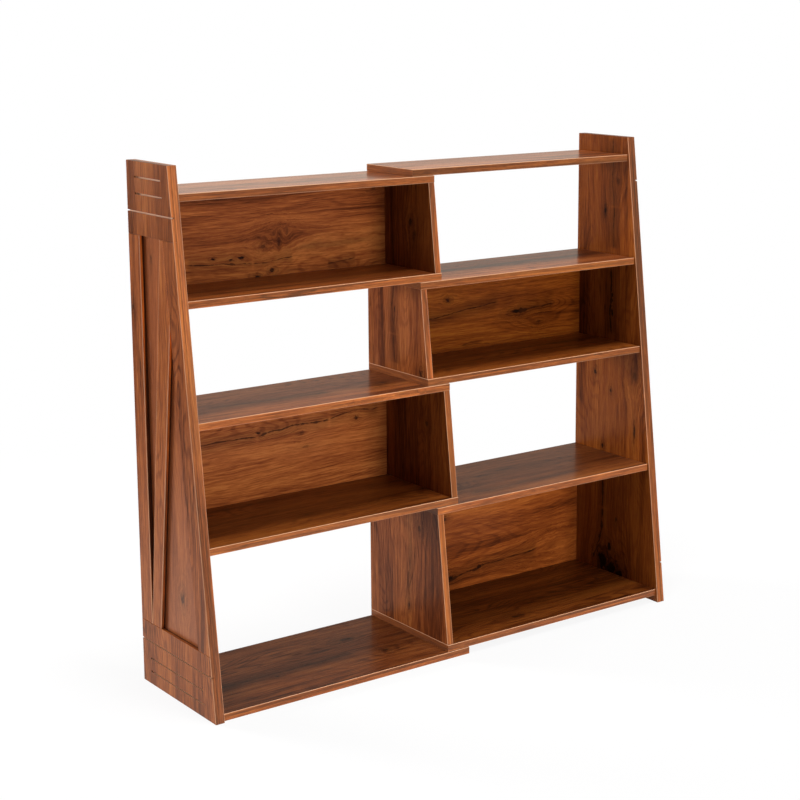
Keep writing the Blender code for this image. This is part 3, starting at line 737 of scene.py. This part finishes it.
UPRIGHT_SPLITS = {
    "right_side_panel": [((1.0744, 0.0286), (0.9159, 0.0252), 0.0014),
                         ((0.9159, 0.0252), (0.8190, 0.0238), 0.0016),
                         ((0.7703, 0.0253), (0.6155, 0.0286), 0.0030),
                         ((0.3100, 0.0470), (0.1851, 0.0505), 0.0030),
                         ((0.1851, 0.0505), (0.0500, 0.0460), 0.0036)],
    "left_side_panel": [((0.9000, 0.0200), (0.5500, 0.0250), 0.0010)],
    "right_upper_box_wall": [((0.7900, 0.0525), (0.6802, 0.0567), 0.0014),
                             ((0.6802, 0.0567), (0.6170, 0.0459), 0.0012)],
}
SIDE_STRIP_SEED = 90.0
UPRIGHT_LOOK = {"coat": 0.14, "coat_roughness": 0.24, "rings": 0.6,
                "strip_seed": SIDE_STRIP_SEED}
# the low tones of left_upper_box_wall and left_lower_box_wall are painted shade for their faces
# inside the boxes
UPRIGHT_LOOKS = {
    "left_lower_box_wall": {"seed": 40, "tone": 0.66, "warmth": 0.7, "strip_tone": 0.74},
    "left_side_panel": {"seed": 60, "coat": 0.50, "warmth": -0.6, "life": 0.55,
                        "strip_tone": 1.00},
    "left_upper_box_wall": {"seed": 42, "tone": 0.58, "warmth": 0.6, "strip_tone": 1.08},
    "right_lower_box_wall": {"seed": 43, "tone": 0.80, "strip_tone": 0.86},
    "right_side_panel": {"seed": 61, "tone": 0.64, "warmth": 1.0, "life": 0.85,
                         "strip_tone": 0.84},
    "right_upper_box_wall": {"seed": 45, "tone": 0.82, "strip_tone": 1.35},
}
print(sum(len(knots) for knots in UPRIGHT_KNOTS.values()), "knots on the uprights")

# %% Painted shade in the recesses
# Painted shade along the feet of the recess walls: a warm brown band, shade lit by bounce
# light, with a dark core.
RECESS_SHADE_DARK, RECESS_SHADE_SHARE = linear(34, 15, 8), 0.92
RECESS_WARM_SHADE, RECESS_WARM_SHADE_SHARE = linear(112, 54, 22), 0.62
RECESS_WARM_SHADE_BAND = (0.020, 0.003)
RECESS_SHADE_CORE = 0.4
OUTSIDE = (0.5899, 0.5904)
WALL_FOOT, TOP_FADE = (-0.0010, -0.0006), 0.001
STILE_EDGE, BRACE_FRONT, BRACE_REAR = (0.1048, 0.0), (0.0834, -0.1227), (0.1180, -0.1052)
RECESS_FEET = ((*STILE_EDGE, 0.934, 0.0034), (*BRACE_FRONT, 0.768, 0.0018))


def paint_recess_shade(tree, point, colour):
    """Painted shade on a side panel's outer face, along the feet of the stile and of the brace.
    """
    outside = ease(tree, reckon(tree, "ABSOLUTE", point[0]), *OUTSIDE)
    for at_floor, slope, top, width in RECESS_FEET:
        foot = before_line(tree, point, at_floor, slope)
        here = reckon(tree, "MULTIPLY", outside, ease(tree, foot, *WALL_FOOT))
        here = reckon(tree, "MULTIPLY", here, ease(tree, point[2], top + TOP_FADE, top))
        # each foot gets a warm brown band and a dark core of painted shade
        for band, share, shade_colour in ((RECESS_WARM_SHADE_BAND, RECESS_WARM_SHADE_SHARE, RECESS_WARM_SHADE),
                                 ((width, width * RECESS_SHADE_CORE), RECESS_SHADE_SHARE, RECESS_SHADE_DARK)):
            laid = reckon(tree, "MULTIPLY", ease(tree, foot, *band), share)
            colour = tint(tree, reckon(tree, "MULTIPLY", laid, here), colour, shade_colour)
    return colour


print(len(RECESS_FEET), "recess feet on each side")

# %% Side panels and box walls
UPRIGHT_HIGHLIGHTS = 0.62
INNER_FACE = 0.5789
WALL_SETBACK = 0.0070
for name in sorted(UPRIGHT_LOOKS):
    low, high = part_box(name)
    material, tree = new_wood(name)
    point, facing = measures_of(tree)
    if name.endswith("_wall"):
        front = behind_front(tree, point, WALL_SETBACK)
        beside = reckon(tree, "MINIMUM", reckon(tree, "SUBTRACT", point[0], low.x),
                        reckon(tree, "SUBTRACT", high.x, point[0]))
    else:
        front = behind_front(tree, point)
        beside = reckon(tree, "SUBTRACT", reckon(tree, "ABSOLUTE", point[0]), INNER_FACE)
    # painted highlight along the front arrises
    highlight_lines = reckon(tree, "MULTIPLY", arris(tree, front, beside), UPRIGHT_HIGHLIGHTS)
    colour = finish_wood("upright", tree, point, facing, upright_strip(tree, facing), highlight_lines,
                         UPRIGHT_KNOTS[name], UPRIGHT_SPLITS.get(name, []),
                         **(UPRIGHT_LOOK | UPRIGHT_LOOKS[name]))
    if name.endswith("_side_panel"):
        # the side panels get painted shade along the recess feet
        plug(tree, tree.nodes["Principled BSDF"].inputs["Base Color"],
             paint_recess_shade(tree, point, colour))
    hang(name, material)
print(len(UPRIGHT_LOOKS), "uprights finished")

# %% [markdown]
# ## Battens and their saw kerfs
# The outer layer of a side is made of five flat battens with eased arrises. The blocks at
# its top and its bottom are sawn in: the kerfs cut through the decor into the pale fibre
# board below, painted lighter in the top block and darker in the bottom one as painted
# light and shade, and each short kerf ends in a small peg hole filled with painted shade.
# The arrises of the rear stile and of the brace carry a painted highlight, and the recess
# walls carry painted light, with painted shade at their root. Of the three kerfs of a block
# the first is the long one. It is painted over at its front end, where the strip covers it.
# Kerfs and holes are cut in the solids already, so the material only has to colour them.

# %% Places and colours on the battens
OUTER_FACE = 0.5992
REAR_PLANE = 0.1505
# fibre board in the kerfs: one material, painted lighter in the top block and darker in the
# bottom block as painted light and shade
KERF_FIBRE_LIT_AND_SHADED = {"top_block": linear(216, 184, 162), "bottom_block": linear(182, 140, 112)}
# dark of painted shade, for the peg holes and the roots of the recess walls
HOLLOW_SHADE = linear(38, 18, 10)
KERF_HEIGHTS = {"top_block": (0.9810, 1.0165, 1.0490), "bottom_block": (0.0925, 0.0565, 0.0280)}
KERF_HALF = (0.0017, 0.0016)
KERF_MOUTH, KERF_GROUND = (0.0002, 0.0005), (0.0053, 0.0051)
LONG_KERF_FRONT = (0.0030, 0.0034)
SHORT_KERF_FRONT = (0.020, 0.021)
SHORT_KERF_REAR = (0.1113, 0.1111)
PEG_AT = 0.1141
PEG_HALF = (0.0026, 0.0025)
WALLS_WITHIN = (0.004, 0.005)
# The recess walls are brightened as painted light, most where they look ahead.
REAR_WALL_PAINTED_LIGHT, AHEAD_WALL_PAINTED_LIGHT = (1.2, 1.1, 1.0), (2.3, 1.8, 1.15)
# painted highlight lines on the arrises of the recess walls and of the recess edges
WALL_ARRIS_HIGHLIGHT_SHARE, RECESS_ARRIS_HIGHLIGHT_SHARE = 0.55, 0.65
# painted shade at the root of the recess walls
ROOT_SHADE_START, GAP_SHADE_START = 0.0054, 0.0014
GAP_CLOSES = (0.85, 0.48)
ROOT_SHADE_FADE = 0.0008
ROOT_SHADE_SHARE, SEAM_SHARE = 0.9, 0.6
SEAM_EDGE = (0.0068, 0.0076)
WALL_ARRIS_HIGHLIGHT_DEPTH = (0.0016, 0.0006)
RECESS_ARRIS_HIGHLIGHT_WIDTH, RECESS_ARRIS_HIGHLIGHT_DEPTH = (0.0017, 0.0008), (0.0014, 0.0007)
LOOKING_AHEAD = (0.2, -0.2)
RECESS_EDGES = {"rear_stile": [STILE_EDGE], "diagonal_brace": [BRACE_FRONT, BRACE_REAR]}
BATTEN_KNOTS = {
    "rear_stile": [(0.7874, 0.1411, 0.010, 0.006, 0.6),
                   (0.6700, 0.1180, 0.034, 0.006, 0.5)],
    "front_stile": [(0.8106, 0.0081, 0.026, 0.009, 0.6)],
    "diagonal_brace": [(0.8894, 0.0578, 0.018, 0.005, 0.5),
                       (0.6071, 0.0555, 0.020, 0.005, 0.6)],
}
BATTEN_LOOK = {"seed": 60, "tone": 0.95, "coat": 0.32, "coat_roughness": 0.26,
               "strip_seed": SIDE_STRIP_SEED}
BATTEN_LOOKS = {"top_block": {"seed": 72, "tone": 0.80}, "bottom_block": {"seed": 76}}
print("kerfs at", KERF_HEIGHTS)


# %% Helpers for the recess walls and the kerfs
def finish_walls(tree, kind, point, facing, strip, front, outer, colour):
    """Paints light on the recess walls, a highlight on their arrises, and shade at their root.
    """
    within = reckon(tree, "MINIMUM", front, reckon(tree, "SUBTRACT", REAR_PLANE, point[1]))
    within = ease(tree, within, *WALLS_WITHIN)
    walls = reckon(tree, "MULTIPLY", strip, within)
    ahead = ease(tree, facing[1], *LOOKING_AHEAD)
    # painted light on the recess walls
    painted_wall_light = [choose(tree, ahead, *shares) for shares in zip(REAR_WALL_PAINTED_LIGHT, AHEAD_WALL_PAINTED_LIGHT)]
    painted_wall_light = part(tree, "CombineColor", dict(enumerate(painted_wall_light))).outputs[0]
    colour = tint(tree, walls, colour, painted_wall_light, "MULTIPLY")
    # painted highlight along the outer arris of the recess walls
    wear_and_highlight = reckon(tree, "MULTIPLY", walls, ease(tree, outer, *WALL_ARRIS_HIGHLIGHT_DEPTH))
    colour = tint(tree, reckon(tree, "MULTIPLY", wear_and_highlight, WALL_ARRIS_HIGHLIGHT_SHARE), colour, EDGE_HIGHLIGHT)
    # painted highlight along the recess edges of the stile and the brace
    for at_floor, slope in RECESS_EDGES.get(kind, []):
        away = reckon(tree, "ABSOLUTE", before_line(tree, point, at_floor, slope))
        pale = reckon(tree, "MULTIPLY", ease(tree, away, *RECESS_ARRIS_HIGHLIGHT_WIDTH),
                      ease(tree, outer, *RECESS_ARRIS_HIGHLIGHT_DEPTH))
        colour = tint(tree, reckon(tree, "MULTIPLY", pale, RECESS_ARRIS_HIGHLIGHT_SHARE), colour, EDGE_HIGHLIGHT)
    # painted shade at the root of the walls, over the whole wall where the rear recess narrows;
    # the seam adds a thin dark line where the batten meets the panel
    start = ROOT_SHADE_START
    if kind == "rear_stile":
        start = choose(tree, ease(tree, point[2], *GAP_CLOSES), ROOT_SHADE_START, GAP_SHADE_START)
    root = ease(tree, reckon(tree, "SUBTRACT", outer, start), 0.0, ROOT_SHADE_FADE)
    root = reckon(tree, "MULTIPLY", root, within)
    seam = reckon(tree, "MULTIPLY", ease(tree, outer, *SEAM_EDGE), strip)
    root = reckon(tree, "MAXIMUM", root, reckon(tree, "MULTIPLY", seam, SEAM_SHARE))
    return tint(tree, reckon(tree, "MULTIPLY", root, ROOT_SHADE_SHARE), colour, HOLLOW_SHADE)


def saw_kerfs(tree, kind, point, front, outer, colour):
    """Paints fibre board in a block's kerfs, with painted light and shade, and painted shade in
    the pegs of the short ones.
    """
    inside = reckon(tree, "MULTIPLY", ease(tree, outer, *KERF_MOUTH),
                    ease(tree, outer, *KERF_GROUND))
    kerfs, peg_shade = 0.0, 0.0
    for number, height in enumerate(KERF_HEIGHTS[kind]):
        off = reckon(tree, "ABSOLUTE", reckon(tree, "SUBTRACT", point[2], height))
        kerf = ease(tree, off, *KERF_HALF)
        if number:
            kerf = reckon(tree, "MULTIPLY", kerf, ease(tree, point[1], *SHORT_KERF_REAR))
            kerf = reckon(tree, "MULTIPLY", kerf, ease(tree, front, *SHORT_KERF_FRONT))
            # the peg hole at the end of a short kerf is filled with painted shade
            behind = reckon(tree, "ABSOLUTE", reckon(tree, "SUBTRACT", point[1], PEG_AT))
            peg = reckon(tree, "MULTIPLY", ease(tree, behind, *PEG_HALF),
                         ease(tree, off, *PEG_HALF))
            peg_shade = reckon(tree, "MAXIMUM", peg_shade, peg)
        kerfs = reckon(tree, "MAXIMUM", kerfs, kerf)
    kerfs = reckon(tree, "MULTIPLY", kerfs, ease(tree, front, *LONG_KERF_FRONT))
    # fibre board in the kerfs, with painted light and shade between the blocks
    colour = tint(tree, reckon(tree, "MULTIPLY", kerfs, inside), colour, KERF_FIBRE_LIT_AND_SHADED[kind])
    return tint(tree, reckon(tree, "MULTIPLY", peg_shade, inside), colour, HOLLOW_SHADE)


print("batten helpers ready")

# %% Ten battens
battens = sorted(name for name in nodes if name.endswith(("_block", "_stile", "_brace")))
for name in battens:
    half, kind = name.split("_", 1)
    material, tree = new_wood(name)
    point, facing = measures_of(tree)
    strip = upright_strip(tree, facing)
    front = behind_front(tree, point)
    outer = reckon(tree, "SUBTRACT", OUTER_FACE, reckon(tree, "ABSOLUTE", point[0]))
    # painted highlight along the front arrises
    highlight_lines = reckon(tree, "MULTIPLY", arris(tree, front, outer), UPRIGHT_HIGHLIGHTS)
    look = BATTEN_LOOK | BATTEN_LOOKS.get(kind, {})
    look["seed"] += int(half == "right")
    look["strip_tone"] = UPRIGHT_LOOKS[half + "_side_panel"]["strip_tone"]
    colour = finish_wood("upright", tree, point, facing, strip, highlight_lines,
                         BATTEN_KNOTS.get(kind, []), [], **look)
    colour = finish_walls(tree, kind, point, facing, strip, front, outer, colour)
    if kind in KERF_HEIGHTS:
        colour = saw_kerfs(tree, kind, point, front, outer, colour)
    plug(tree, tree.nodes["Principled BSDF"].inputs["Base Color"], colour)
    hang(name, material)
print(len(battens), "battens finished")

# %% [markdown]
# ## Metal of the fittings
# The drums of the cams are cast zinc, their bolts and the wall screws plated steel. Both
# are matt from the barrel they are tumbled in. One flat grey would look like plastic, so
# tone and roughness change softly from place to place.

# %% Zinc and steel
CLOUD_NOISE = {"detail": 3.0, "roughness": 0.6, "scale": 420.0}
GRIT_NOISE = {"detail": 2.0, "roughness": 0.5, "scale": 2600.0}
CLOUD_SHADE, CLOUD_DULL = 0.72, 0.18
GRIT_STRENGTH, GRIT_DEPTH = 0.3, 0.0001


def metal(name, colour, roughness):
    """A tumbled metal with soft changes in tone and sheen."""
    material = bpy.data.materials.new(name)
    material.use_nodes = True
    tree = material.node_tree
    source = part(tree, "TexCoord").outputs["Object"]
    cloud = noise(tree, source, **CLOUD_NOISE)
    grit = noise(tree, source, **GRIT_NOISE)
    wear_and_highlight = tuple(value * CLOUD_SHADE for value in colour[:3]) + (1.0,)
    shader = tree.nodes["Principled BSDF"]
    plug(tree, shader.inputs["Base Color"], tint(tree, cloud, wear_and_highlight, colour))
    shader.inputs["Metallic"].default_value = 1.0
    plug(tree, shader.inputs["Roughness"],
         reckon(tree, "MULTIPLY_ADD", cloud, CLOUD_DULL, roughness))
    bump = part(tree, "Bump", {"Strength": GRIT_STRENGTH, "Distance": GRIT_DEPTH,
                               "Height": grit})
    plug(tree, shader.inputs["Normal"], bump.outputs[0])
    return material


zinc = metal("tumbled_zinc", linear(196, 196, 194), 0.34)
steel = metal("plated_steel", linear(180, 178, 174), 0.26)
print("metals:", zinc.name, "and", steel.name)

# %% [markdown]
# ## Cam fittings
# Each of the ten boards is held to the side panel of its own half by two cam fittings. A
# zinc drum, let into the underside of the board, is turned with a cross-head driver and
# pulls the head of a steel bolt that is screwed into the panel. A lathe would spin a
# profile; here the same bodies grow from a cylinder whose end face is pulled out and
# widened or narrowed step by step, because each step can then be read as one station of
# the turned piece.

# %% Helpers for turned pieces
MM = 0.001
END_FACE_FROM = 0.9
SHARP_FROM, SMOOTH_BELOW = radians(40), radians(35)
CREST_RISES, CREST_STARTS, CREST_ENDS, CREST_FALLEN = 0.15, 0.45, 0.60, 0.95


def only(piece):
    """Makes one piece the selected and the active one."""
    bpy.ops.object.select_all(action="DESELECT")
    piece.select_set(True)
    bpy.context.view_layer.objects.active = piece


def select_faces(piece, wanted):
    """In edit mode, selects the faces whose middle and normal pass a test."""
    bpy.ops.mesh.select_all(action="DESELECT")
    bpy.ops.object.mode_set(mode="OBJECT")
    for face in piece.data.polygons:
        face.select = bool(wanted(face.center, face.normal))
    bpy.ops.object.mode_set(mode="EDIT")


def turned(name, sides, stations, finish):
    """A body turned about Z, from stations of (height, radius) in millimetres."""
    (start, radius), (second, _) = stations[:2]
    bpy.ops.object.select_all(action="DESELECT")
    bpy.ops.mesh.primitive_cylinder_add(vertices=sides, radius=radius * MM,
                                        depth=(second - start) * MM,
                                        location=(0.0, 0.0, (start + second) / 2 * MM))
    piece = bpy.context.object
    piece.name = name
    bpy.ops.object.transform_apply(location=True, rotation=False, scale=False)
    piece.data.materials.append(finish)
    bpy.ops.object.mode_set(mode="EDIT")
    bpy.ops.mesh.select_mode(type="FACE")
    select_faces(piece, lambda middle, normal: normal.z > END_FACE_FROM)
    height = second
    for next_height, next_radius in stations[1:]:
        if next_height > height:
            bpy.ops.mesh.extrude_region_move(
                TRANSFORM_OT_translate={"value": (0.0, 0.0, (next_height - height) * MM)})
        elif next_radius != radius:
            bpy.ops.mesh.extrude_region_move(TRANSFORM_OT_translate={"value": (0.0, 0.0, 0.0)})
        scale = next_radius / radius
        bpy.ops.transform.resize(value=(scale, scale, 1.0), center_override=(0.0, 0.0, 0.0))
        height, radius = next_height, next_radius
    bpy.ops.mesh.select_all(action="SELECT")
    bpy.ops.mesh.normals_make_consistent(inside=False)
    bpy.ops.object.mode_set(mode="OBJECT")
    return piece


def sink(piece, low, high):
    """Cuts a block, given by two corners in millimetres, out of a piece."""
    bpy.ops.object.select_all(action="DESELECT")
    middle = [(a + b) / 2 * MM for a, b in zip(low, high)]
    bpy.ops.mesh.primitive_cube_add(size=1.0, location=middle)
    cutter = bpy.context.object
    cutter.scale = [(b - a) * MM for a, b in zip(low, high)]
    bpy.ops.object.transform_apply(location=True, rotation=True, scale=True)
    only(piece)
    step = piece.modifiers.new("sink", "BOOLEAN")
    step.operation, step.solver, step.object = "DIFFERENCE", "EXACT", cutter
    bpy.ops.object.modifier_apply(modifier=step.name)
    bpy.data.objects.remove(cutter)


def ease_arrises(piece, width, sides=2):
    """Rounds every sharp arris a little and shades the rest smooth."""
    only(piece)
    step = piece.modifiers.new("arris", "BEVEL")
    step.width, step.segments, step.limit_method = width * MM, sides, "ANGLE"
    step.angle_limit = SHARP_FROM
    bpy.ops.object.modifier_apply(modifier=step.name)
    bpy.ops.object.shade_smooth_by_angle(angle=SMOOTH_BELOW)


def thread(low, high, pitch, root, crest):
    """Stations of a thread, ring by ring, from its root to its crest and back."""
    rings = []
    height = low
    while height + pitch <= high + 1e-6:
        rings += [(height + CREST_RISES * pitch, root), (height + CREST_STARTS * pitch, crest),
                  (height + CREST_ENDS * pitch, crest), (height + CREST_FALLEN * pitch, root)]
        height += pitch
    return rings


print("turning helpers ready")

# %% The drum, its driver cross and its chamber
DRUM_SIDES = 40
DRUM_FOOT = -7.2
DRUM_STATIONS = [(DRUM_FOOT, 6.9), (-6.9, 7.2), (4.4, 7.2), (4.8, 6.9)]
RIM_WIDTH, DISH_SLOPE, DISH_DEPTH = 0.9 * MM, 0.2 * MM, 0.35 * MM
DRUM_CUTS = {
    "cross along": ((-3.4, -0.75, -8.0), (3.4, 0.75, -4.6)),
    "cross across": ((-0.75, -3.4, -8.0), (0.75, 3.4, -4.6)),
    "turning mark": ((4.9, -0.45, -8.0), (6.1, 0.45, -6.7)),
    "chamber for the bolt's head": ((-2.3, -3.6, -3.6), (1.8, 3.6, 6.0)),
    "mouth for the bolt's neck": ((1.0, -2.5, -3.6), (8.6, 2.5, 6.0)),
}


def extent(piece, axis):
    """A piece's lowest and highest point along one axis, in millimetres."""
    values = [corner.co[axis] / MM for corner in piece.data.vertices]
    return round(min(values), 2), round(max(values), 2)


drum = turned("cam_drum", DRUM_SIDES, DRUM_STATIONS, zinc)
bpy.ops.object.mode_set(mode="EDIT")
select_faces(drum, lambda middle, normal: normal.z < -END_FACE_FROM
             and middle.z < (DRUM_FOOT + 0.1) * MM)
bpy.ops.mesh.inset(thickness=RIM_WIDTH, depth=0.0)
bpy.ops.mesh.inset(thickness=DISH_SLOPE, depth=-DISH_DEPTH)
bpy.ops.object.mode_set(mode="OBJECT")
for low, high in DRUM_CUTS.values():
    sink(drum, low, high)
ease_arrises(drum, 0.10)
print("drum:", len(drum.data.polygons), "faces, from and to", extent(drum, 2), "mm")

# %% The bolt, drawn into the drum
BOLT_SIDES = 20
THREAD_START, THREAD_END = -32.2, -24.0
BOLT_STATIONS = ([(THREAD_START - 0.5, 1.9), (THREAD_START, 2.3)]
                 + thread(THREAD_START, THREAD_END, 1.35, 2.35, 2.95)
                 + [(-23.9, 2.4), (-23.8, 3.0), (-23.2, 3.0), (-23.0, 2.2), (-2.0, 2.2),
                    (-1.9, 2.9), (-1.5, 3.25), (1.2, 3.25), (1.8, 2.4)])
bolt = turned("cam_bolt", BOLT_SIDES, BOLT_STATIONS, steel)
bolt.data.transform(Matrix.Rotation(-pi / 2, 4, "Y"))
ease_arrises(bolt, 0.06, 1)
print("bolt:", len(bolt.data.polygons), "faces, from and to", extent(bolt, 0), "mm")

# %% Twenty cam fittings in their pockets
only(bolt)
drum.select_set(True)
bpy.context.view_layer.objects.active = drum
bpy.ops.object.join()
drum.name = "cam_pattern"


def put(pattern, name, place, node):
    """Sets one copy of a fitting, with its own mesh, in the place of its node."""
    piece = bpy.data.objects.new(name, pattern.data.copy())
    bpy.context.scene.collection.objects.link(piece)
    piece.data.transform(place)
    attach(piece, node.split("_", 1)[0] + "_half")
    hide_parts(node)


DRUM_MIDDLE_TO_END = 7.24 * MM
cams = sorted(name for name in nodes if name.endswith("_cam"))
for node in cams:
    low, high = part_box(node)
    left = node.startswith("left")
    x = high.x - DRUM_MIDDLE_TO_END if left else low.x + DRUM_MIDDLE_TO_END
    place = Matrix.Translation((x, (low.y + high.y) / 2, low.z - DRUM_FOOT * MM))
    if left:
        place = place @ Matrix.Rotation(pi, 4, "Z")
    put(drum, node + "_fitting", place, node)
bpy.data.objects.remove(drum)
print(len(cams), "cam fittings")

# %% [markdown]
# ## Wall screws
# The end walls of the boxes stand between two boards, and a countersunk screw goes through
# each board into the wall's end. Its head lies just below the face on which the other half
# glides, so the halves never touch it. It is turned in the same way as the bolt, from its
# head to its point, and the cross is cut out afterwards.

# %% Eight wall screws
SCREW_SIDES = 20
SCREW_STATIONS = ([(0.6, 4.9), (0.9, 4.9), (3.4, 2.5), (8.0, 2.3)]
                  + thread(8.0, 46.0, 2.2, 1.9, 3.1) + [(47.0, 1.6), (50.0, 0.2)])
SCREW_SLOTS = {"along": ((-2.4, -0.5, 0.0), (2.4, 0.5, 2.6)),
               "across": ((-0.5, -2.4, 0.0), (0.5, 2.4, 2.6))}
SCREW_BELOW_FACE = 0.6 * MM
screw = turned("wall_screw", SCREW_SIDES, SCREW_STATIONS, steel)
for low, high in SCREW_SLOTS.values():
    sink(screw, low, high)
ease_arrises(screw, 0.05, 1)
screws = sorted(name for name in nodes if name.endswith("_screw"))
for node in screws:
    low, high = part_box(node)
    middle = ((low.x + high.x) / 2, (low.y + high.y) / 2)
    if "_top_" in node:
        place = Matrix.Translation((*middle, high.z + SCREW_BELOW_FACE))
        place = place @ Matrix.Rotation(pi, 4, "X")
    else:
        place = Matrix.Translation((*middle, low.z - SCREW_BELOW_FACE))
    put(screw, node + "_fitting", place, node)
bpy.data.objects.remove(screw)
print(len(screws), "wall screws")

# %% [markdown]
# ## Room and light
# A white room, as a catalogue picture has. The world is plain white where the camera looks,
# a warm white in reflections, and dimmer as a lamp, so that the closed boxes can be dark
# inside. One wide lamp in front and to the right lights the backs and the edges, one at the
# left rear and a weak one at the right light the outer faces of the sides, and a small one
# high above reaches the front of every board, because each board stands out a little from
# the one over it. Only the high lamp is seen in reflections. The floor catches the shadow.
# A picture of a room could light the bookcase too, but lamps can be moved one by one.

# %% World
WHITE = (1.0, 1.0, 1.0, 1.0)
MIRRORED_ROOM = (1.0, 0.89, 0.76, 1.0)
MIRRORED_LOW, MIRRORED_HIGH = 1.1, 0.30
MIRRORED_HORIZON = (0.11, 0.30)
ROOM_AS_LAMP = 0.20
world = bpy.data.worlds.new("white_room")
bpy.context.scene.world = world
world.use_nodes = True
tree = world.node_tree
seen = part(tree, "LightPath").outputs
white = reckon(tree, "MAXIMUM", seen["Is Camera Ray"], seen["Is Glossy Ray"])
white = reckon(tree, "MAXIMUM", white, seen["Is Transmission Ray"])
room = tree.nodes["Background"]
plug(tree, room.inputs["Color"], tint(tree, seen["Is Glossy Ray"], WHITE, MIRRORED_ROOM))
height = part(tree, "SeparateXYZ", {0: part(tree, "TexCoord").outputs["Generated"]}).outputs[2]
mirrored = choose(tree, ease(tree, height, *MIRRORED_HORIZON), MIRRORED_LOW, MIRRORED_HIGH)
shown = choose(tree, seen["Is Camera Ray"], mirrored, 1.0)
plug(tree, room.inputs["Strength"], choose(tree, white, ROOM_AS_LAMP, shown))
print("world:", world.name)

# %% Floor
FLOOR_SIZE = 80.0
FLOOR_DROP = 0.0004
FLOOR_GREY = (0.90, 0.90, 0.90, 1.0)
GLOW_FADES = (0.5, 3.0)
GLOW_FAR = 0.12
GLOW_NEAR_SHARE, GLOW_SHARE_GAIN = 0.89, 0.11
GLOW_SHARE_GROWS = (0.7, 2.2)
bpy.ops.object.select_all(action="DESELECT")
bpy.ops.mesh.primitive_grid_add(x_subdivisions=8, y_subdivisions=8, size=FLOOR_SIZE,
                                location=(0.0, 0.0, -FLOOR_DROP))
floor = bpy.context.object
floor.name = "studio_floor"
floor_paint = bpy.data.materials.new("studio_floor")
floor_paint.use_nodes = True
tree = floor_paint.node_tree
seen = part(tree, "LightPath").outputs
glow = reckon(tree, "MAXIMUM", seen["Is Camera Ray"], seen["Is Glossy Ray"])
matt = part(tree, "BsdfDiffuse", {"Color": FLOOR_GREY})
far = part(tree, "VectorMath", {0: part(tree, "TexCoord").outputs["Object"]},
           operation="LENGTH").outputs["Value"]
dim = choose(tree, ease(tree, far, *GLOW_FADES), 1.0, GLOW_FAR)
dim = choose(tree, seen["Is Camera Ray"], dim, 1.0)
lit = part(tree, "Emission", {"Color": tint(tree, seen["Is Glossy Ray"], WHITE, MIRRORED_ROOM),
                              "Strength": dim})
share = reckon(tree, "MULTIPLY_ADD", ease(tree, far, *GLOW_SHARE_GROWS), GLOW_SHARE_GAIN,
               GLOW_NEAR_SHARE)
both = part(tree, "MixShader", {0: reckon(tree, "MULTIPLY", glow, share), 1: matt.outputs[0],
                                2: lit.outputs[0]})
tree.links.new(both.outputs[0], tree.nodes["Material Output"].inputs["Surface"])
floor.data.materials.append(floor_paint)
print("floor:", FLOOR_SIZE, "m wide,", FLOOR_DROP / MM, "mm under the bookcase")

# %% Lamps
LAMPS = {
    "front_softbox": {"place": (0.5, -4.2, 1.0), "target": (0.0, 0.0, 0.5), "size": 1.6,
                      "power": 145.0},
    "left_softbox": {"place": (-2.0, 2.9, 1.2), "target": (-0.6, 0.0, 0.5), "size": 1.1,
                     "power": 141.0},
    "right_softbox": {"place": (3.0, 0.5, 1.1), "target": (0.6, 0.0, 0.5), "size": 1.2,
                      "power": 32.0},
    "top_softbox": {"place": (-0.2, -0.45, 3.6), "target": (0.0, 0.0, 0.5), "size": 0.8,
                    "power": 66.0, "mirrored": True},
}


def softbox(name, place, target, size, power, mirrored=False):
    """A square lamp that looks at a point."""
    data = bpy.data.lights.new(name, "AREA")
    data.size = size
    data.energy = power
    lamp = bpy.data.objects.new(name, data)
    lamp.location = place
    lamp.rotation_euler = (Vector(target) - Vector(place)).to_track_quat("-Z", "Y").to_euler()
    lamp.visible_camera = False
    lamp.visible_glossy = mirrored
    bpy.context.scene.collection.objects.link(lamp)


for name, lamp_facts in LAMPS.items():
    softbox(name, **lamp_facts)
print("lamps:", ", ".join(LAMPS))
